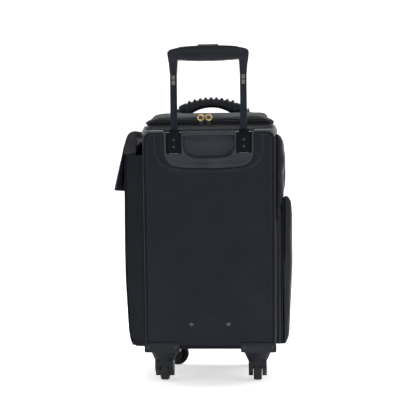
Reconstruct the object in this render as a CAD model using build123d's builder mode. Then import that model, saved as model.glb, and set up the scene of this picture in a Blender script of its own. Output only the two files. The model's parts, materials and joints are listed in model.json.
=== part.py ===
from build123d import *
import os

# Pilot rolling flight case, in millimetres.
# X runs across the back, -Y is the trolley side, +Z is up.
# The pieces are drawn about the middle of the case shell and saved about the middle of the whole
# footprint, pockets and flap included, on the floor under the wheels.

# ---- case shell
back_y = -125.0          # outer face of the back panel
front_y = 125.0          # outer face of the front panel
board = 3.0              # thickness of every covered board
side_x = 133.0           # outer faces of the side panels
side_end_y = 118.0       # side panels stop short of the piped edges
base_z = 68.0            # underside of the case
shell_top_z = 512.0      # top of the side and front panels
base_half = 129.5        # piping's centre line, half width at the bottom
head_half = 132.5        # piping's centre line, half width at the top
piping_low_z = 71.5
piping_high_z = 507.5
piping_r = 3.0
piping_y = 121.8
head_corner = 15.0
base_corner = 17.0

# ---- top opening, zip and lid
opening_back_y = -96.0
opening_front_y = 120.0
opening_half = 130.0
opening_corner = 14.0
collar_wall = 3.0
hinge_gap_depth = 18.0   # the zip tapes stop this far before the lid hinge
ledge_half = 136.0       # the leather over the top edge swells past the sides
collar_low_z = 514.6
collar_top_z = 525.0
tape = 1.5               # thickness of a zip tape
tape_split_z = 529.0     # the zip's own line
lid_low_z = 533.2
lid_knee_z = 547.0
ridge_z = 556.0
lid_skin = 3.0

# ---- trolley
tube_x = 71.4
tube_y = -112.0
outer_size = (18.7, 16.1)
outer_bore = (16.3, 13.7)
mid_size = (15.7, 13.1)
mid_bore = (13.3, 10.7)
inner_size = (12.6, 10.0)
inner_bore = (10.4, 7.8)
outer_low_z = 84.0
mid_low_z = 96.0
inner_low_z = 212.0
socket_low_z = 467.0
socket_top_z = 508.0
bush_size = (20.0, 16.0)
collar_rise = 7.5        # middle tubes' top bush stands this far out of its socket
grip_half = 83.5
leg_low_z = 629.0
leg_top_z = 655.0
rod_r = 1.5

# ---- recess in the back panel
recess_half = 92.5
recess_low_z = 434.5
bezel_half = 113.5
bezel_low_z = 425.5
bezel_top_z = 498.0
tray_floor_y = -121.5    # shallow dish around the sockets
well_floor_y = -106.0    # deep middle of the recess
well_half = 54.0
divider_y = -103.8

# ---- casters
caster_x = 95.7
caster_y = 97.0
wheel_r = 25.0
wheel_w = 17.0
tyre_wall = 5.0
trail = 10.0             # wheel axle behind the swivel axis
axle_r = 2.95
running_gap = 0.05       # radial clearance of a running fit
stem_r = 4.0

# ---- gaps
seam_gap = 0.1           # between pieces that are sewn or glued to each other
slack = 0.3              # around a piece that sits in a slot

both_sides = ((-1, "left"), (1, "right"))
footprint_shift = (13.75, -4.5, 0)


def upright(y):
    """Plane facing -Y at the given depth, with X across and Z up."""
    return Plane.XZ.offset(-y)


def save(builder, name):
    """Write one piece, moved to the saved origin."""
    piece = builder.part.moved(Location(footprint_shift))
    piece.label = name
    export_step(piece, f"parts/{name}.step")


def u_face(plane, half, low, high, corner, bow):
    """U shape: straight sides, round lower corners and a bowed bottom."""
    with BuildSketch(plane, mode=Mode.PRIVATE) as shape:
        with BuildLine():
            Polyline((-half, low + bow), (-half, high), (half, high), (half, low + bow))
            ThreePointArc((half, low + bow), (0, low), (-half, low + bow))
        make_face()
        fillet(shape.vertices().group_by(Axis.Y)[0], corner)
    return shape.sketch


def shell_outline(plane, inset):
    """The tapered, round-cornered outline of the back, drawn inside the piping's centre line."""
    low = piping_low_z + inset
    high = piping_high_z - inset
    with BuildSketch(plane, mode=Mode.PRIVATE) as shape:
        with BuildLine():
            Polyline(
                (inset - base_half, low),
                (inset - head_half, high),
                (head_half - inset, high),
                (base_half - inset, low),
                close=True,
            )
        make_face()
        fillet(shape.vertices().group_by(Axis.Y)[-1], head_corner - inset)
        fillet(shape.vertices().group_by(Axis.Y)[0], base_corner - inset)
    return shape.sketch


def tube_pair(size, bore, low, high):
    """Two rectangular tubes, one on each trolley axis."""
    with BuildPart() as tubes:
        with BuildSketch(Plane.XY.offset(low)):
            with Locations((-tube_x, tube_y), (tube_x, tube_y)):
                Rectangle(*size)
                Rectangle(*bore, mode=Mode.SUBTRACT)
        extrude(amount=high - low)
    return tubes


def ring_pair(low, high, half, back, front, wall, open_front):
    """A rectangular band around the top opening, with its front side left out on request."""
    with BuildPart() as band:
        with BuildSketch(Plane.XY.offset(low)):
            with Locations((0, (back + front) / 2)):
                RectangleRounded(2 * half, front - back, opening_corner)
                RectangleRounded(2 * (half - wall), front - back - 2 * wall, opening_corner - wall,
                                 mode=Mode.SUBTRACT)
            if open_front:
                with Locations((0, front)):
                    Rectangle(2 * half + 2, 2 * hinge_gap_depth, mode=Mode.SUBTRACT)
        extrude(amount=high - low)
    return band


# ======================================================== case shell
bracket_screw_x = 37.6
bracket_screw_z = 119.6
screw_r = 2.0
screw_hole_r = 2.1

with BuildPart() as back_panel:
    extrude(shell_outline(upright(back_y + board), piping_r + seam_gap), amount=board)
    extrude(u_face(upright(back_y + board), recess_half, recess_low_z, 520, 30, 6), amount=board,
            mode=Mode.SUBTRACT)
    with BuildSketch(upright(back_y + board)):
        with Locations((-bracket_screw_x, bracket_screw_z), (bracket_screw_x, bracket_screw_z)):
            Circle(screw_hole_r)
    extrude(amount=board, mode=Mode.SUBTRACT)

with BuildPart() as front_panel:
    extrude(shell_outline(upright(front_y), piping_r + seam_gap), amount=board)

with BuildPart() as left_side_panel:
    with Locations((-side_x + board / 2, 0, (base_z + shell_top_z) / 2)):
        Box(board, 2 * side_end_y, shell_top_z - base_z)
    chamfer(left_side_panel.edges().filter_by(Axis.Y).sort_by(Axis.X)[:2], 1)

with BuildPart() as right_side_panel:
    add(left_side_panel.part.mirror(Plane.YZ))

with BuildPart() as base_panel:
    with Locations((0, 0, base_z + board / 2)):
        Box(2 * (side_x - board) - 0.4, 2 * side_end_y, board)

with BuildPart() as piping:
    for depth in (-piping_y, piping_y):
        with BuildLine() as seam:
            add(shell_outline(upright(depth), 0).wire())
        with BuildSketch(Plane(origin=seam.line @ 0, z_dir=seam.line % 0)):
            Circle(piping_r)
        sweep()
    # the back ring stops where the recess opens through the top edge
    with Locations((0, -piping_y, piping_high_z)):
        Box(2 * recess_half + 0.6, 10, 20, mode=Mode.SUBTRACT)

with BuildPart() as top_ledge:
    with BuildSketch(Plane.XY.offset(shell_top_z + seam_gap)):
        RectangleRounded(2 * ledge_half, 2 * front_y - 4, 16)
        with Locations((0, (opening_back_y + opening_front_y) / 2)):
            RectangleRounded(2 * opening_half - 8, opening_front_y - opening_back_y - 8, 12,
                             mode=Mode.SUBTRACT)
        with Locations((0, back_y)):
            Rectangle(2 * recess_half + 1, 2 * (divider_y - back_y) + 5, mode=Mode.SUBTRACT)
    extrude(amount=2.3)
    fillet(top_ledge.edges().group_by(Axis.Z)[-1].sort_by(SortBy.LENGTH)[-4:], 1)

top_collar = ring_pair(collar_low_z, collar_top_z, opening_half, opening_back_y, opening_front_y,
                       collar_wall, False)

tape_inset = 0.8
body_zip_tape = ring_pair(collar_top_z + seam_gap, tape_split_z - seam_gap, opening_half - tape_inset,
                          opening_back_y + tape_inset, opening_front_y - tape_inset, tape, True)

strip_low_z = 515.0
strip_top_z = 528.0
strip_wall = 1.4
with BuildPart() as lid_hinge_strip:
    with Locations((0, opening_front_y + 1, (strip_low_z + strip_top_z) / 2)):
        Box(2 * (opening_half - hinge_gap_depth), strip_wall, strip_top_z - strip_low_z)

divider_wall = 2.0
divider_low_z = 74.0
divider_top_z = 506.0
with BuildPart() as well_divider:
    with Locations((0, divider_y + divider_wall / 2, (divider_low_z + divider_top_z) / 2)):
        Box(2 * (side_x - board) - 1, divider_wall, divider_top_z - divider_low_z)

front_pad_size = (212.0, 330.0)
front_pad_mid_z = 262.0
front_pad_depth = 13.0
front_pad_corner = 22.0
front_pad_edge = 6.0
with BuildPart() as front_pad:
    with BuildSketch(upright(front_y + 2 * seam_gap)):
        with Locations((0, front_pad_mid_z)):
            RectangleRounded(*front_pad_size, front_pad_corner)
    extrude(amount=-front_pad_depth)
    fillet(front_pad.faces().sort_by(Axis.Y)[-1].edges(), front_pad_edge)

# ======================================================== recess
socket_half = 15.0
socket_front_y = -122.5
slot_mid_z = 495.0
behind_mid_z = 440.0
tray_edge = 0.4          # gap between the tray and the panel's cut edge
tray_corner = 30.0
tray_bow = 6.0
well_low_z = 456.0
well_top_z = 503.0
well_corner = 26.0
well_bow = 4.0
socket_screw_zs = (494.0, 480.0)
socket_screw_spots = [(side * tube_x, height) for side, _ in both_sides for height in socket_screw_zs]
socket_screw_r = 2.6

with BuildPart() as recess_tray:
    extrude(u_face(upright(divider_y - 0.2), recess_half - tray_edge, recess_low_z + tray_edge,
                   shell_top_z - tray_edge, tray_corner, tray_bow), amount=divider_y - 0.2 - back_y)
    # shallow dish that carries the sockets
    rim = u_face(upright(back_y), recess_half - 3, recess_low_z + 6, 520, tray_corner - 3, tray_bow)
    floor = u_face(upright(tray_floor_y), recess_half - 6, recess_low_z + 16, 520,
                   tray_corner - 6, tray_bow)
    loft([rim, floor], mode=Mode.SUBTRACT)
    # deep middle, where a hand closes around the grip
    mouth = u_face(upright(tray_floor_y), well_half, well_low_z, well_top_z, well_corner, well_bow)
    bottom = u_face(upright(well_floor_y), well_half - 4, well_low_z + 6, well_top_z,
                    well_corner - 2, well_bow)
    loft([mouth, bottom], mode=Mode.SUBTRACT)
    # slots for the sockets and for the tubes that pass behind the dish
    with Locations((-tube_x, 0, 0), (tube_x, 0, 0)):
        with Locations((0, (divider_y + back_y) / 2, slot_mid_z)):
            Box(2 * (socket_half + slack), 30, 2 * (slot_mid_z - socket_low_z + slack), mode=Mode.SUBTRACT)
        with Locations((0, tube_y, behind_mid_z)):
            Box(outer_size[0] + 2 * slack, outer_size[1] + 2 * slack, 80, mode=Mode.SUBTRACT)
    # hollow behind the dish, left and right of the tubes
    with Locations((0, divider_y - 0.2, behind_mid_z)):
        Box(2 * (tube_x - 12), 2 * 10, 2 * 12, mode=Mode.SUBTRACT)

with BuildPart() as recess_bezel:
    extrude(u_face(upright(back_y - seam_gap), bezel_half, bezel_low_z, bezel_top_z, 40, 10), amount=2)
    extrude(u_face(upright(back_y - seam_gap), recess_half + 0.5, recess_low_z - 0.5, bezel_top_z,
                   tray_corner, tray_bow), amount=2, mode=Mode.SUBTRACT)
    chamfer(recess_bezel.faces().sort_by(Axis.Y)[0].edges(), 0.9)

with BuildPart() as tube_sockets:
    with BuildSketch(Plane.XY.offset(socket_low_z)):
        with Locations(*[(side * tube_x, (socket_front_y + divider_y) / 2) for side, _ in both_sides]):
            RectangleRounded(2 * socket_half, divider_y - socket_front_y - 0.4, 3)
    extrude(amount=socket_top_z - socket_low_z)
    with BuildSketch(Plane.XY.offset(socket_low_z)):
        with Locations((-tube_x, tube_y), (tube_x, tube_y)):
            Rectangle(mid_size[0] + slack, mid_size[1] + slack)
    extrude(amount=socket_top_z - socket_low_z, mode=Mode.SUBTRACT)
    with BuildSketch(upright(socket_front_y)):
        with Locations(*socket_screw_spots):
            Circle(1.6)
    extrude(amount=-3, mode=Mode.SUBTRACT)

with BuildPart() as socket_screws:
    with BuildSketch(upright(socket_front_y)):
        with Locations(*socket_screw_spots):
            Circle(socket_screw_r)
    extrude(amount=1.2)
    chamfer(socket_screws.faces().group_by(Axis.Y)[0].edges(), 0.5)
    with BuildSketch(upright(socket_front_y)):
        with Locations(*socket_screw_spots):
            Circle(1.5)
    extrude(amount=-2.8)

# ======================================================== trolley
outer_tubes = tube_pair(outer_size, outer_bore, outer_low_z, socket_low_z)

bracket_half = 88.0
with BuildPart() as foot_bracket:
    with Locations((0, tube_y, outer_low_z - 4.2)):
        Box(2 * bracket_half, outer_size[1], 8)
    with Locations((0, back_y + board + 1.5, 103)):
        Box(2 * (tube_x - 12), 2.6, 54.8)
    with BuildSketch(upright(back_y + board)):
        with Locations((-bracket_screw_x, bracket_screw_z), (bracket_screw_x, bracket_screw_z)):
            Circle(screw_hole_r)
    extrude(amount=-4, mode=Mode.SUBTRACT)

with BuildPart() as foot_screws:
    with BuildSketch(upright(back_y)):
        with Locations((-bracket_screw_x, bracket_screw_z), (bracket_screw_x, bracket_screw_z)):
            Circle(4.5)
    extrude(amount=2.2)
    fillet(foot_screws.faces().group_by(Axis.Y)[0].edges(), 1.9)
    with BuildSketch(upright(back_y)):
        with Locations((-bracket_screw_x, bracket_screw_z), (bracket_screw_x, bracket_screw_z)):
            Circle(screw_r)
    extrude(amount=-8)

mid_top_z = socket_top_z + 0.2
mid_tubes = tube_pair(mid_size, mid_bore, mid_low_z, mid_top_z)

with BuildPart() as mid_bushes:
    with BuildSketch(Plane.XY.offset(mid_top_z)):
        with Locations((-tube_x, tube_y), (tube_x, tube_y)):
            RectangleRounded(*bush_size, 2)
            Rectangle(inner_size[0] + 0.4, inner_size[1] + 0.4, mode=Mode.SUBTRACT)
    extrude(amount=collar_rise)
    chamfer(mid_bushes.faces().sort_by(Axis.Z)[-2:].edges(), 0.6)
    with BuildSketch(Plane.XY.offset(mid_low_z - 6)):
        with Locations((-tube_x, tube_y), (tube_x, tube_y)):
            Rectangle(outer_bore[0] - 0.2, outer_bore[1] - 0.2)
            Rectangle(*mid_bore, mode=Mode.SUBTRACT)
    extrude(amount=6)

with BuildPart() as inner_tubes:
    with BuildSketch(Plane.XY.offset(inner_low_z)):
        with Locations((-tube_x, tube_y), (tube_x, tube_y)):
            RectangleRounded(*inner_size, 1.2)
            Rectangle(*inner_bore, mode=Mode.SUBTRACT)
        with GridLocations(0, inner_size[1], 1, 2):
            with Locations((-tube_x, tube_y), (tube_x, tube_y)):
                Rectangle(2.4, 0.9, mode=Mode.SUBTRACT)
    extrude(amount=leg_top_z - inner_low_z)

with BuildPart() as lock_blocks:
    with BuildSketch(Plane.XY.offset(inner_low_z - 14)):
        with Locations((-tube_x, tube_y), (tube_x, tube_y)):
            Rectangle(*inner_size)
    extrude(amount=14)
    with BuildSketch(Plane.XY.offset(inner_low_z)):
        with Locations((-tube_x, tube_y), (tube_x, tube_y)):
            Rectangle(inner_bore[0] - 0.2, inner_bore[1] - 0.2)
    extrude(amount=16)
    with BuildSketch(Plane.XY.offset(inner_low_z - 8)):
        with Locations((-tube_x, tube_y), (tube_x, tube_y)):
            Circle(rod_r + running_gap)
    extrude(amount=24, mode=Mode.SUBTRACT)

grip_depth = 19.0
yoke_low_z = 668.0
yoke_top_z = 672.0
cavity_low_z = 663.0
cavity_top_z = 675.0
button_top_z = 689.6
button_half = 21.5
button_depth = 9.0

with BuildPart() as trolley_grip:
    with BuildSketch(upright(tube_y)):
        with BuildLine():
            ThreePointArc((-58, 684.4), (0, 687), (58, 684.4))
            Spline((58, 684.4), (73, 680.4), (81, 676.4), (grip_half, 672.5))
            Polyline((grip_half, 672.5), (82.2, 661), (80.4, 650), (78.6, leg_low_z),
                     (64.2, leg_low_z), (62.6, leg_top_z + 4))
            ThreePointArc((62.6, leg_top_z + 4), (0, leg_top_z + 1.2), (-62.6, leg_top_z + 4))
            Polyline((-62.6, leg_top_z + 4), (-64.2, leg_low_z), (-78.6, leg_low_z),
                     (-80.4, 650), (-82.2, 661), (-grip_half, 672.5))
            Spline((-grip_half, 672.5), (-81, 676.4), (-73, 680.4), (-58, 684.4))
        make_face()
    extrude(amount=grip_depth / 2, both=True)
    # hollow for the yoke, open above for the button
    with Locations((0, tube_y, (cavity_low_z + cavity_top_z) / 2)):
        Box(2 * (tube_x + 4), 8, cavity_top_z - cavity_low_z, mode=Mode.SUBTRACT)
    with Locations((0, tube_y, yoke_top_z + 8)):
        Box(2 * button_half + 0.6, button_depth + 0.6, 24, mode=Mode.SUBTRACT)
    with BuildSketch(Plane.XY.offset(leg_low_z - 1)):
        with Locations((-tube_x, tube_y), (tube_x, tube_y)):
            RectangleRounded(*inner_size, 1.2)
    # sockets for the inner tubes in the two legs
    extrude(amount=leg_top_z + 1 - leg_low_z, mode=Mode.SUBTRACT)
    with Locations((-tube_x, tube_y, leg_top_z), (tube_x, tube_y, leg_top_z)):
        Cylinder(rod_r + 0.5, 2 * (cavity_low_z - leg_top_z) + 2, mode=Mode.SUBTRACT)


with BuildPart() as tube_lugs:
    with BuildSketch(upright(tube_y - inner_size[1] / 2)):
        with Locations(*[(side * tube_x, height) for side, _ in both_sides for height in (622.4, 611.6)]):
            RectangleRounded(7.0, 9.0, 1.6)
    extrude(amount=0.15)

with BuildPart() as release_button:
    with Locations((0, tube_y, (yoke_top_z + button_top_z) / 2)):
        Box(2 * button_half, button_depth, button_top_z - yoke_top_z)
    fillet(release_button.faces().sort_by(Axis.Z)[-1].edges(), 1.2)

with BuildPart() as push_rods:
    with Locations((0, tube_y, (yoke_low_z + yoke_top_z) / 2)):
        Box(2 * (tube_x + 3), 7, yoke_top_z - yoke_low_z)
    with BuildSketch(Plane.XY.offset(yoke_low_z)):
        with Locations((-tube_x, tube_y), (tube_x, tube_y)):
            Circle(rod_r)
    extrude(amount=inner_low_z - yoke_low_z)

spring_x = 30.0
spring_r = 2.4
spring_wire = 0.4
with BuildPart() as button_springs:
    for side, _ in both_sides:
        with BuildLine(Plane((side * spring_x, tube_y, cavity_low_z + 0.6))) as coil:
            Helix(pitch=1.0, height=3.6, radius=spring_r)
        with BuildSketch(Plane(origin=coil.line @ 0, z_dir=coil.line % 0)):
            Circle(spring_wire)
        sweep(path=coil.line, is_frenet=True)

# ======================================================== lid and carry handle
pivot_z = 565.0
pivot_y = -2.0
eye_r = 6.0
pin_r = 2.45
arch_top_z = 582.5       # middle line of the carry handle, at its highest

lid_zip_tape = ring_pair(tape_split_z + 2 * seam_gap, lid_low_z, opening_half - tape_inset,
                         opening_back_y + tape_inset, opening_front_y - tape_inset, tape, True)


def dome(inset):
    """The lid's domed block, shrunk by inset on every side but the open bottom."""
    middle_y = (opening_back_y + opening_front_y) / 2
    span = opening_front_y - opening_back_y
    levels = (
        (lid_low_z + 0.1, 2.0, 3.0, 14),
        (lid_knee_z, 8.0, 12.0, 16),
        (ridge_z - inset, 14.0, 70.0, 14),
    )
    faces = []
    for level, side_in, end_in, corner in levels:
        with BuildSketch(Plane.XY.offset(level), mode=Mode.PRIVATE) as layer:
            with Locations((0, middle_y)):
                RectangleRounded(2 * (opening_half - side_in - inset), span - 2 * (end_in + inset), corner)
        faces.append(layer.sketch)
    return faces


with BuildPart() as lid_panel:
    loft(dome(0), ruled=True)
    loft(dome(lid_skin), ruled=True, mode=Mode.SUBTRACT)

with BuildPart() as handle_mounts:
    for side, _ in both_sides:
        with Locations((side * 79.5, pivot_y, ridge_z + 1.1)):
            Box(23, 24, 2)
        with BuildSketch(Plane.YZ.offset(side * 81)):
            with Locations((pivot_y, pivot_z)):
                Circle(eye_r)
            with Locations((pivot_y, (pivot_z + ridge_z + 2) / 2)):
                Rectangle(2 * eye_r, pivot_z - ridge_z - 2)
            with Locations((pivot_y, pivot_z)):
                Circle(pin_r, mode=Mode.SUBTRACT)
        extrude(amount=1.75, both=True)

with BuildPart() as handle_pins:
    for side, _ in both_sides:
        with Locations(Plane((side * 76, pivot_y, pivot_z), z_dir=(1, 0, 0))):
            Cylinder(pin_r, 13)

with BuildPart() as handle_core:
    with BuildLine() as arch:
        ThreePointArc((-70, pivot_y, pivot_z), (0, pivot_y, arch_top_z), (70, pivot_y, pivot_z))
    with BuildSketch(Plane(origin=arch.line @ 0, x_dir=(0, 1, 0), z_dir=arch.line % 0)):
        RectangleRounded(9, 6, 2)
    sweep()
    for side, _ in both_sides:
        with Locations(Plane((side * 74, pivot_y, pivot_z), z_dir=(1, 0, 0))):
            Cylinder(eye_r, 9)
    for side, _ in both_sides:
        with Locations(Plane((side * 76, pivot_y, pivot_z), z_dir=(1, 0, 0))):
            Cylinder(pin_r + running_gap, 13.4, mode=Mode.SUBTRACT)

with BuildPart() as handle_grip:
    with BuildLine() as middle:
        ThreePointArc((-62, pivot_y, pivot_z + 4.1), (0, pivot_y, arch_top_z), (62, pivot_y, pivot_z + 4.1))
    with BuildSketch(Plane(origin=middle.line @ 0, x_dir=(0, 1, 0), z_dir=middle.line % 0)):
        RectangleRounded(18, 17, 6.5)
    sweep()
    add(handle_core.part, mode=Mode.SUBTRACT)

slider_xs = {"left": -17.0, "right": -0.5}
slider_back_y = opening_back_y - 0.2
slider_size = (9.0, 3.4, 8.5)
pull_z = 536.5
pull_y = slider_back_y - slider_size[1] + 0.9
sliders = {}
pulls = {}
for name, slider_x in slider_xs.items():
    with BuildPart() as sliders[name]:
        with Locations((slider_x, slider_back_y - slider_size[1] / 2, tape_split_z)):
            Box(*slider_size)
        chamfer(sliders[name].edges().filter_by(Axis.Y), 1.6)
        # bridge over the pull's bar
        with Locations((slider_x, slider_back_y - 1, 535)):
            Box(3, 2, 5)
    with BuildPart() as pulls[name]:
        with BuildSketch(upright(pull_y - 1.3)):
            with Locations((slider_x, pull_z + 5)):
                Ellipse(7.4, 7.0)
                Ellipse(5.4, 5.0, mode=Mode.SUBTRACT)
        extrude(amount=1.3)

# ======================================================== left pocket and flap
pocket_half_y = 92.0
pocket_wall = 2.5
pocket_mouth_z = 469.0


def side_profile(points, corner):
    """Face in the XZ plane from its corner points, all corners rounded alike."""
    with BuildSketch(Plane.XZ, mode=Mode.PRIVATE) as shape:
        with BuildLine():
            Polyline(*points, close=True)
        make_face()
        fillet(shape.vertices(), corner)
    return shape.sketch


pocket_back_x = -(side_x + 0.4)
with BuildPart() as left_pocket:
    extrude(side_profile([(pocket_back_x, 69), (-157, 69), (-163, 78), (-167.5, 92), (-173.5, 190),
                          (-175, 250), (-175, pocket_mouth_z), (pocket_back_x, pocket_mouth_z)], 2),
            amount=pocket_half_y, both=True)
    extrude(side_profile([(pocket_back_x - 2.5, 72), (-156, 72), (-161, 80), (-165, 92), (-171, 190),
                          (-172.5, 250), (-172.5, 480), (pocket_back_x - 2.5, 480)], 1),
            amount=pocket_half_y - pocket_wall, both=True, mode=Mode.SUBTRACT)
    with Locations((pocket_back_x - pocket_wall / 2, 0, (pocket_mouth_z - 4 + 509) / 2)):
        Box(pocket_wall, 2 * pocket_half_y, 509 - pocket_mouth_z + 4)

with BuildPart() as pocket_flap:
    with BuildSketch(Plane.XZ):
        with BuildLine():
            Polyline((-141.5, 509.5), (-141.5, 512.4))
            Spline((-141.5, 512.4), (-154, 516.2), (-166, 512), (-173, 499), (-178.2, 483))
            Polyline((-178.2, 483), (-195.5, 394), (-190.5, 392.6), (-178, 469))
            Spline((-178, 469), (-174, 487), (-165.5, 501), (-155, 509), (-141.5, 509.5))
        make_face()
    extrude(amount=pocket_half_y + 4, both=True)
    # boxed ends, which close the dome over the pocket's mouth
    for side, _ in both_sides:
        with BuildSketch(Plane.XZ.offset(side * (pocket_half_y + 2.75))):
            with BuildLine():
                Polyline((-151, 510), (-151, 471), (-178.4, 471), (-175.8, 484))
                Spline((-175.8, 484), (-167.5, 501), (-151, 510))
            make_face()
        extrude(amount=1.25, both=True)

# ======================================================== right side
with BuildPart() as right_shoulder:
    with BuildSketch(Plane.XZ):
        with BuildLine():
            Polyline((side_x + 0.3, 300), (side_x + 0.3, 511))
            Spline((side_x + 0.3, 511), (145.5, 500), (150.8, 478), (153, 459),
                   (149.5, 425), (144.5, 385), (138, 305))
            Line((138, 305), (side_x + 0.3, 300))
        make_face()
    extrude(amount=pocket_half_y + 2, both=True)

with BuildPart() as right_pocket_panel:
    extrude(side_profile([(152, 380), (158, 382), (166, 372), (168, 340), (168, 240), (160, 90), (154, 72),
                          (148, 72), (149.5, 160)], 1.5), amount=pocket_half_y, both=True)

with BuildPart() as right_pocket_gussets:
    for side, _ in both_sides:
        with BuildSketch(Plane.XZ.offset(side * (pocket_half_y - 2))):
            with BuildLine():
                Polyline((side_x + 0.4, 74), (146.5, 74), (148.2, 160), (150.6, 340), (151, 372),
                         (140.5, 322), (140, 292), (side_x + 0.4, 292), close=True)
            make_face()
        extrude(amount=1.5, both=True)
    with Locations(((side_x + 147) / 2, 0, 75.2)):
        Box(11, 2 * pocket_half_y - 8, 2.4)

with BuildPart() as side_handle_anchors:
    for middle_z, base_x in ((451, 154.4), (395, 149.4)):
        with Locations((base_x, 0, middle_z)):
            Box(1.8, 30, 26)
    fillet(side_handle_anchors.edges().filter_by(Axis.X), 4)

strap_line = [(155.5, 461), (155.9, 445), (155.5, 425), (153.8, 405), (150.6, 388)]
strap_wall = 2.2
with BuildPart() as side_handle:
    with BuildSketch(Plane.XZ):
        with BuildLine():
            Spline(*strap_line)
            Line(strap_line[-1], (strap_line[-1][0] + strap_wall, strap_line[-1][1]))
            Spline(*[(x + strap_wall, z) for x, z in reversed(strap_line)])
            Line((strap_line[0][0] + strap_wall, strap_line[0][1]), strap_line[0])
        make_face()
    extrude(amount=12, both=True)

# ======================================================== casters
housing_top_z = base_z - 0.2
corners = {
    "back_left": (-1, -1, 90),
    "back_right": (1, -1, 90),
    "front_left": (-1, 1, 0),
    "front_right": (1, 1, -90),
}

housing_low_z = 62.0
housing_x = 98.0
housing_y = 100.5
housing_size = (72.0, 55.0)
flange_high = 19.0
with BuildPart() as caster_housings:
    for side, end, _ in corners.values():
        with BuildSketch(Plane.XY.offset(housing_low_z)):
            with Locations((side * housing_x, end * housing_y)):
                RectangleRounded(housing_size[0], housing_size[1], 9)
        extrude(amount=housing_top_z - housing_low_z)
        with BuildSketch(upright(end * (front_y + 1.6))):
            with Locations((side * housing_x, housing_low_z + flange_high / 2)):
                RectangleRounded(housing_size[0], flange_high, 4)
        extrude(amount=1.4, both=True)
        with Locations((side * caster_x, end * caster_y, housing_low_z)):
            Cylinder(stem_r + running_gap, 10, mode=Mode.SUBTRACT)

with BuildPart() as caster_screws:
    for side, end, _ in corners.values():
        with BuildSketch(upright(end * (front_y + 3.0))):
            with Locations((side * (housing_x - 28), 73), (side * (housing_x + 28), 73)):
                Circle(2.6)
        extrude(amount=-1.2 * end)

fork_top_r = 25.5
fork_neck_r = 20.0
fork_neck_z = 42.0
fork_half = 18.5
forks = {}
wheels = {}
tyres = {}
for name, (side, end, heading) in corners.items():
    swivel = Plane((side * caster_x, end * caster_y, 0)).rotated((0, 0, heading))
    hub = swivel.from_local_coords((trail, 0, wheel_r))
    axle = Plane(origin=hub, x_dir=swivel.x_dir, z_dir=-swivel.y_dir)
    with BuildPart() as forks[name]:
        # cone under the housing, and the stem that turns in it
        with BuildSketch(swivel.offset(housing_low_z - 0.4)):
            Circle(fork_top_r)
        with BuildSketch(swivel.offset(fork_neck_z)):
            Circle(fork_neck_r)
        loft()
        with BuildSketch(swivel.offset(housing_low_z - 2)):
            Circle(stem_r)
        extrude(amount=6)
        # hood and legs beside the wheel
        with BuildSketch(axle):
            with BuildLine():
                Polyline((-28, 18), (-26, 2), (-8, -15), (5, -17), (11, -8), (10, 18), close=True)
            make_face()
        extrude(amount=fork_half, both=True)
        with BuildSketch(axle):
            Circle(wheel_r + 2)
        extrude(amount=wheel_w / 2 + 1, both=True, mode=Mode.SUBTRACT)
        with BuildSketch(axle.offset(-fork_half)):
            Circle(axle_r)
        extrude(amount=2 * fork_half)
    with BuildPart() as wheels[name]:
        with BuildSketch(axle.offset(-wheel_w / 2 + 0.5)):
            Circle(wheel_r - tyre_wall)
            Circle(axle_r + running_gap, mode=Mode.SUBTRACT)
        extrude(amount=wheel_w - 1)
    with BuildPart() as tyres[name]:
        with BuildSketch(axle.offset(-wheel_w / 2)):
            Circle(wheel_r)
        extrude(amount=wheel_w)
        fillet(tyres[name].edges(), 2.6)
        with BuildSketch(axle.offset(-wheel_w / 2)):
            Circle(wheel_r - tyre_wall)
        extrude(amount=wheel_w, mode=Mode.SUBTRACT)

# ======================================================== one file per piece
os.makedirs("parts", exist_ok=True)
pieces = {
    "back_panel": back_panel,
    "front_panel": front_panel,
    "left_side_panel": left_side_panel,
    "right_side_panel": right_side_panel,
    "base_panel": base_panel,
    "piping": piping,
    "top_ledge": top_ledge,
    "top_collar": top_collar,
    "body_zip_tape": body_zip_tape,
    "lid_hinge_strip": lid_hinge_strip,
    "well_divider": well_divider,
    "front_pad": front_pad,
    "recess_tray": recess_tray,
    "recess_bezel": recess_bezel,
    "tube_sockets": tube_sockets,
    "socket_screws": socket_screws,
    "outer_tubes": outer_tubes,
    "foot_bracket": foot_bracket,
    "foot_screws": foot_screws,
    "mid_tubes": mid_tubes,
    "mid_bushes": mid_bushes,
    "inner_tubes": inner_tubes,
    "lock_blocks": lock_blocks,
    "trolley_grip": trolley_grip,
    "tube_lugs": tube_lugs,
    "release_button": release_button,
    "push_rods": push_rods,
    "button_springs": button_springs,
    "lid_panel": lid_panel,
    "lid_zip_tape": lid_zip_tape,
    "handle_mounts": handle_mounts,
    "handle_pins": handle_pins,
    "handle_core": handle_core,
    "handle_grip": handle_grip,
    "left_pocket": left_pocket,
    "pocket_flap": pocket_flap,
    "right_shoulder": right_shoulder,
    "right_pocket_panel": right_pocket_panel,
    "right_pocket_gussets": right_pocket_gussets,
    "side_handle_anchors": side_handle_anchors,
    "side_handle": side_handle,
    "caster_housings": caster_housings,
    "caster_screws": caster_screws,
}
for name in slider_xs:
    pieces[f"zip_slider_{name}"] = sliders[name]
    pieces[f"zip_pull_{name}"] = pulls[name]
for name in corners:
    pieces[f"fork_{name}"] = forks[name]
    pieces[f"wheel_{name}"] = wheels[name]
    pieces[f"tyre_{name}"] = tyres[name]
for name, piece in pieces.items():
    save(piece, name)
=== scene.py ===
"""Looks of the pilot rolling flight case: leather, mouldings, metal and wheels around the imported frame."""
import json
import math

import bmesh
import bpy
import numpy as np
from mathutils import Matrix, Quaternion, Vector, noise


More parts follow.
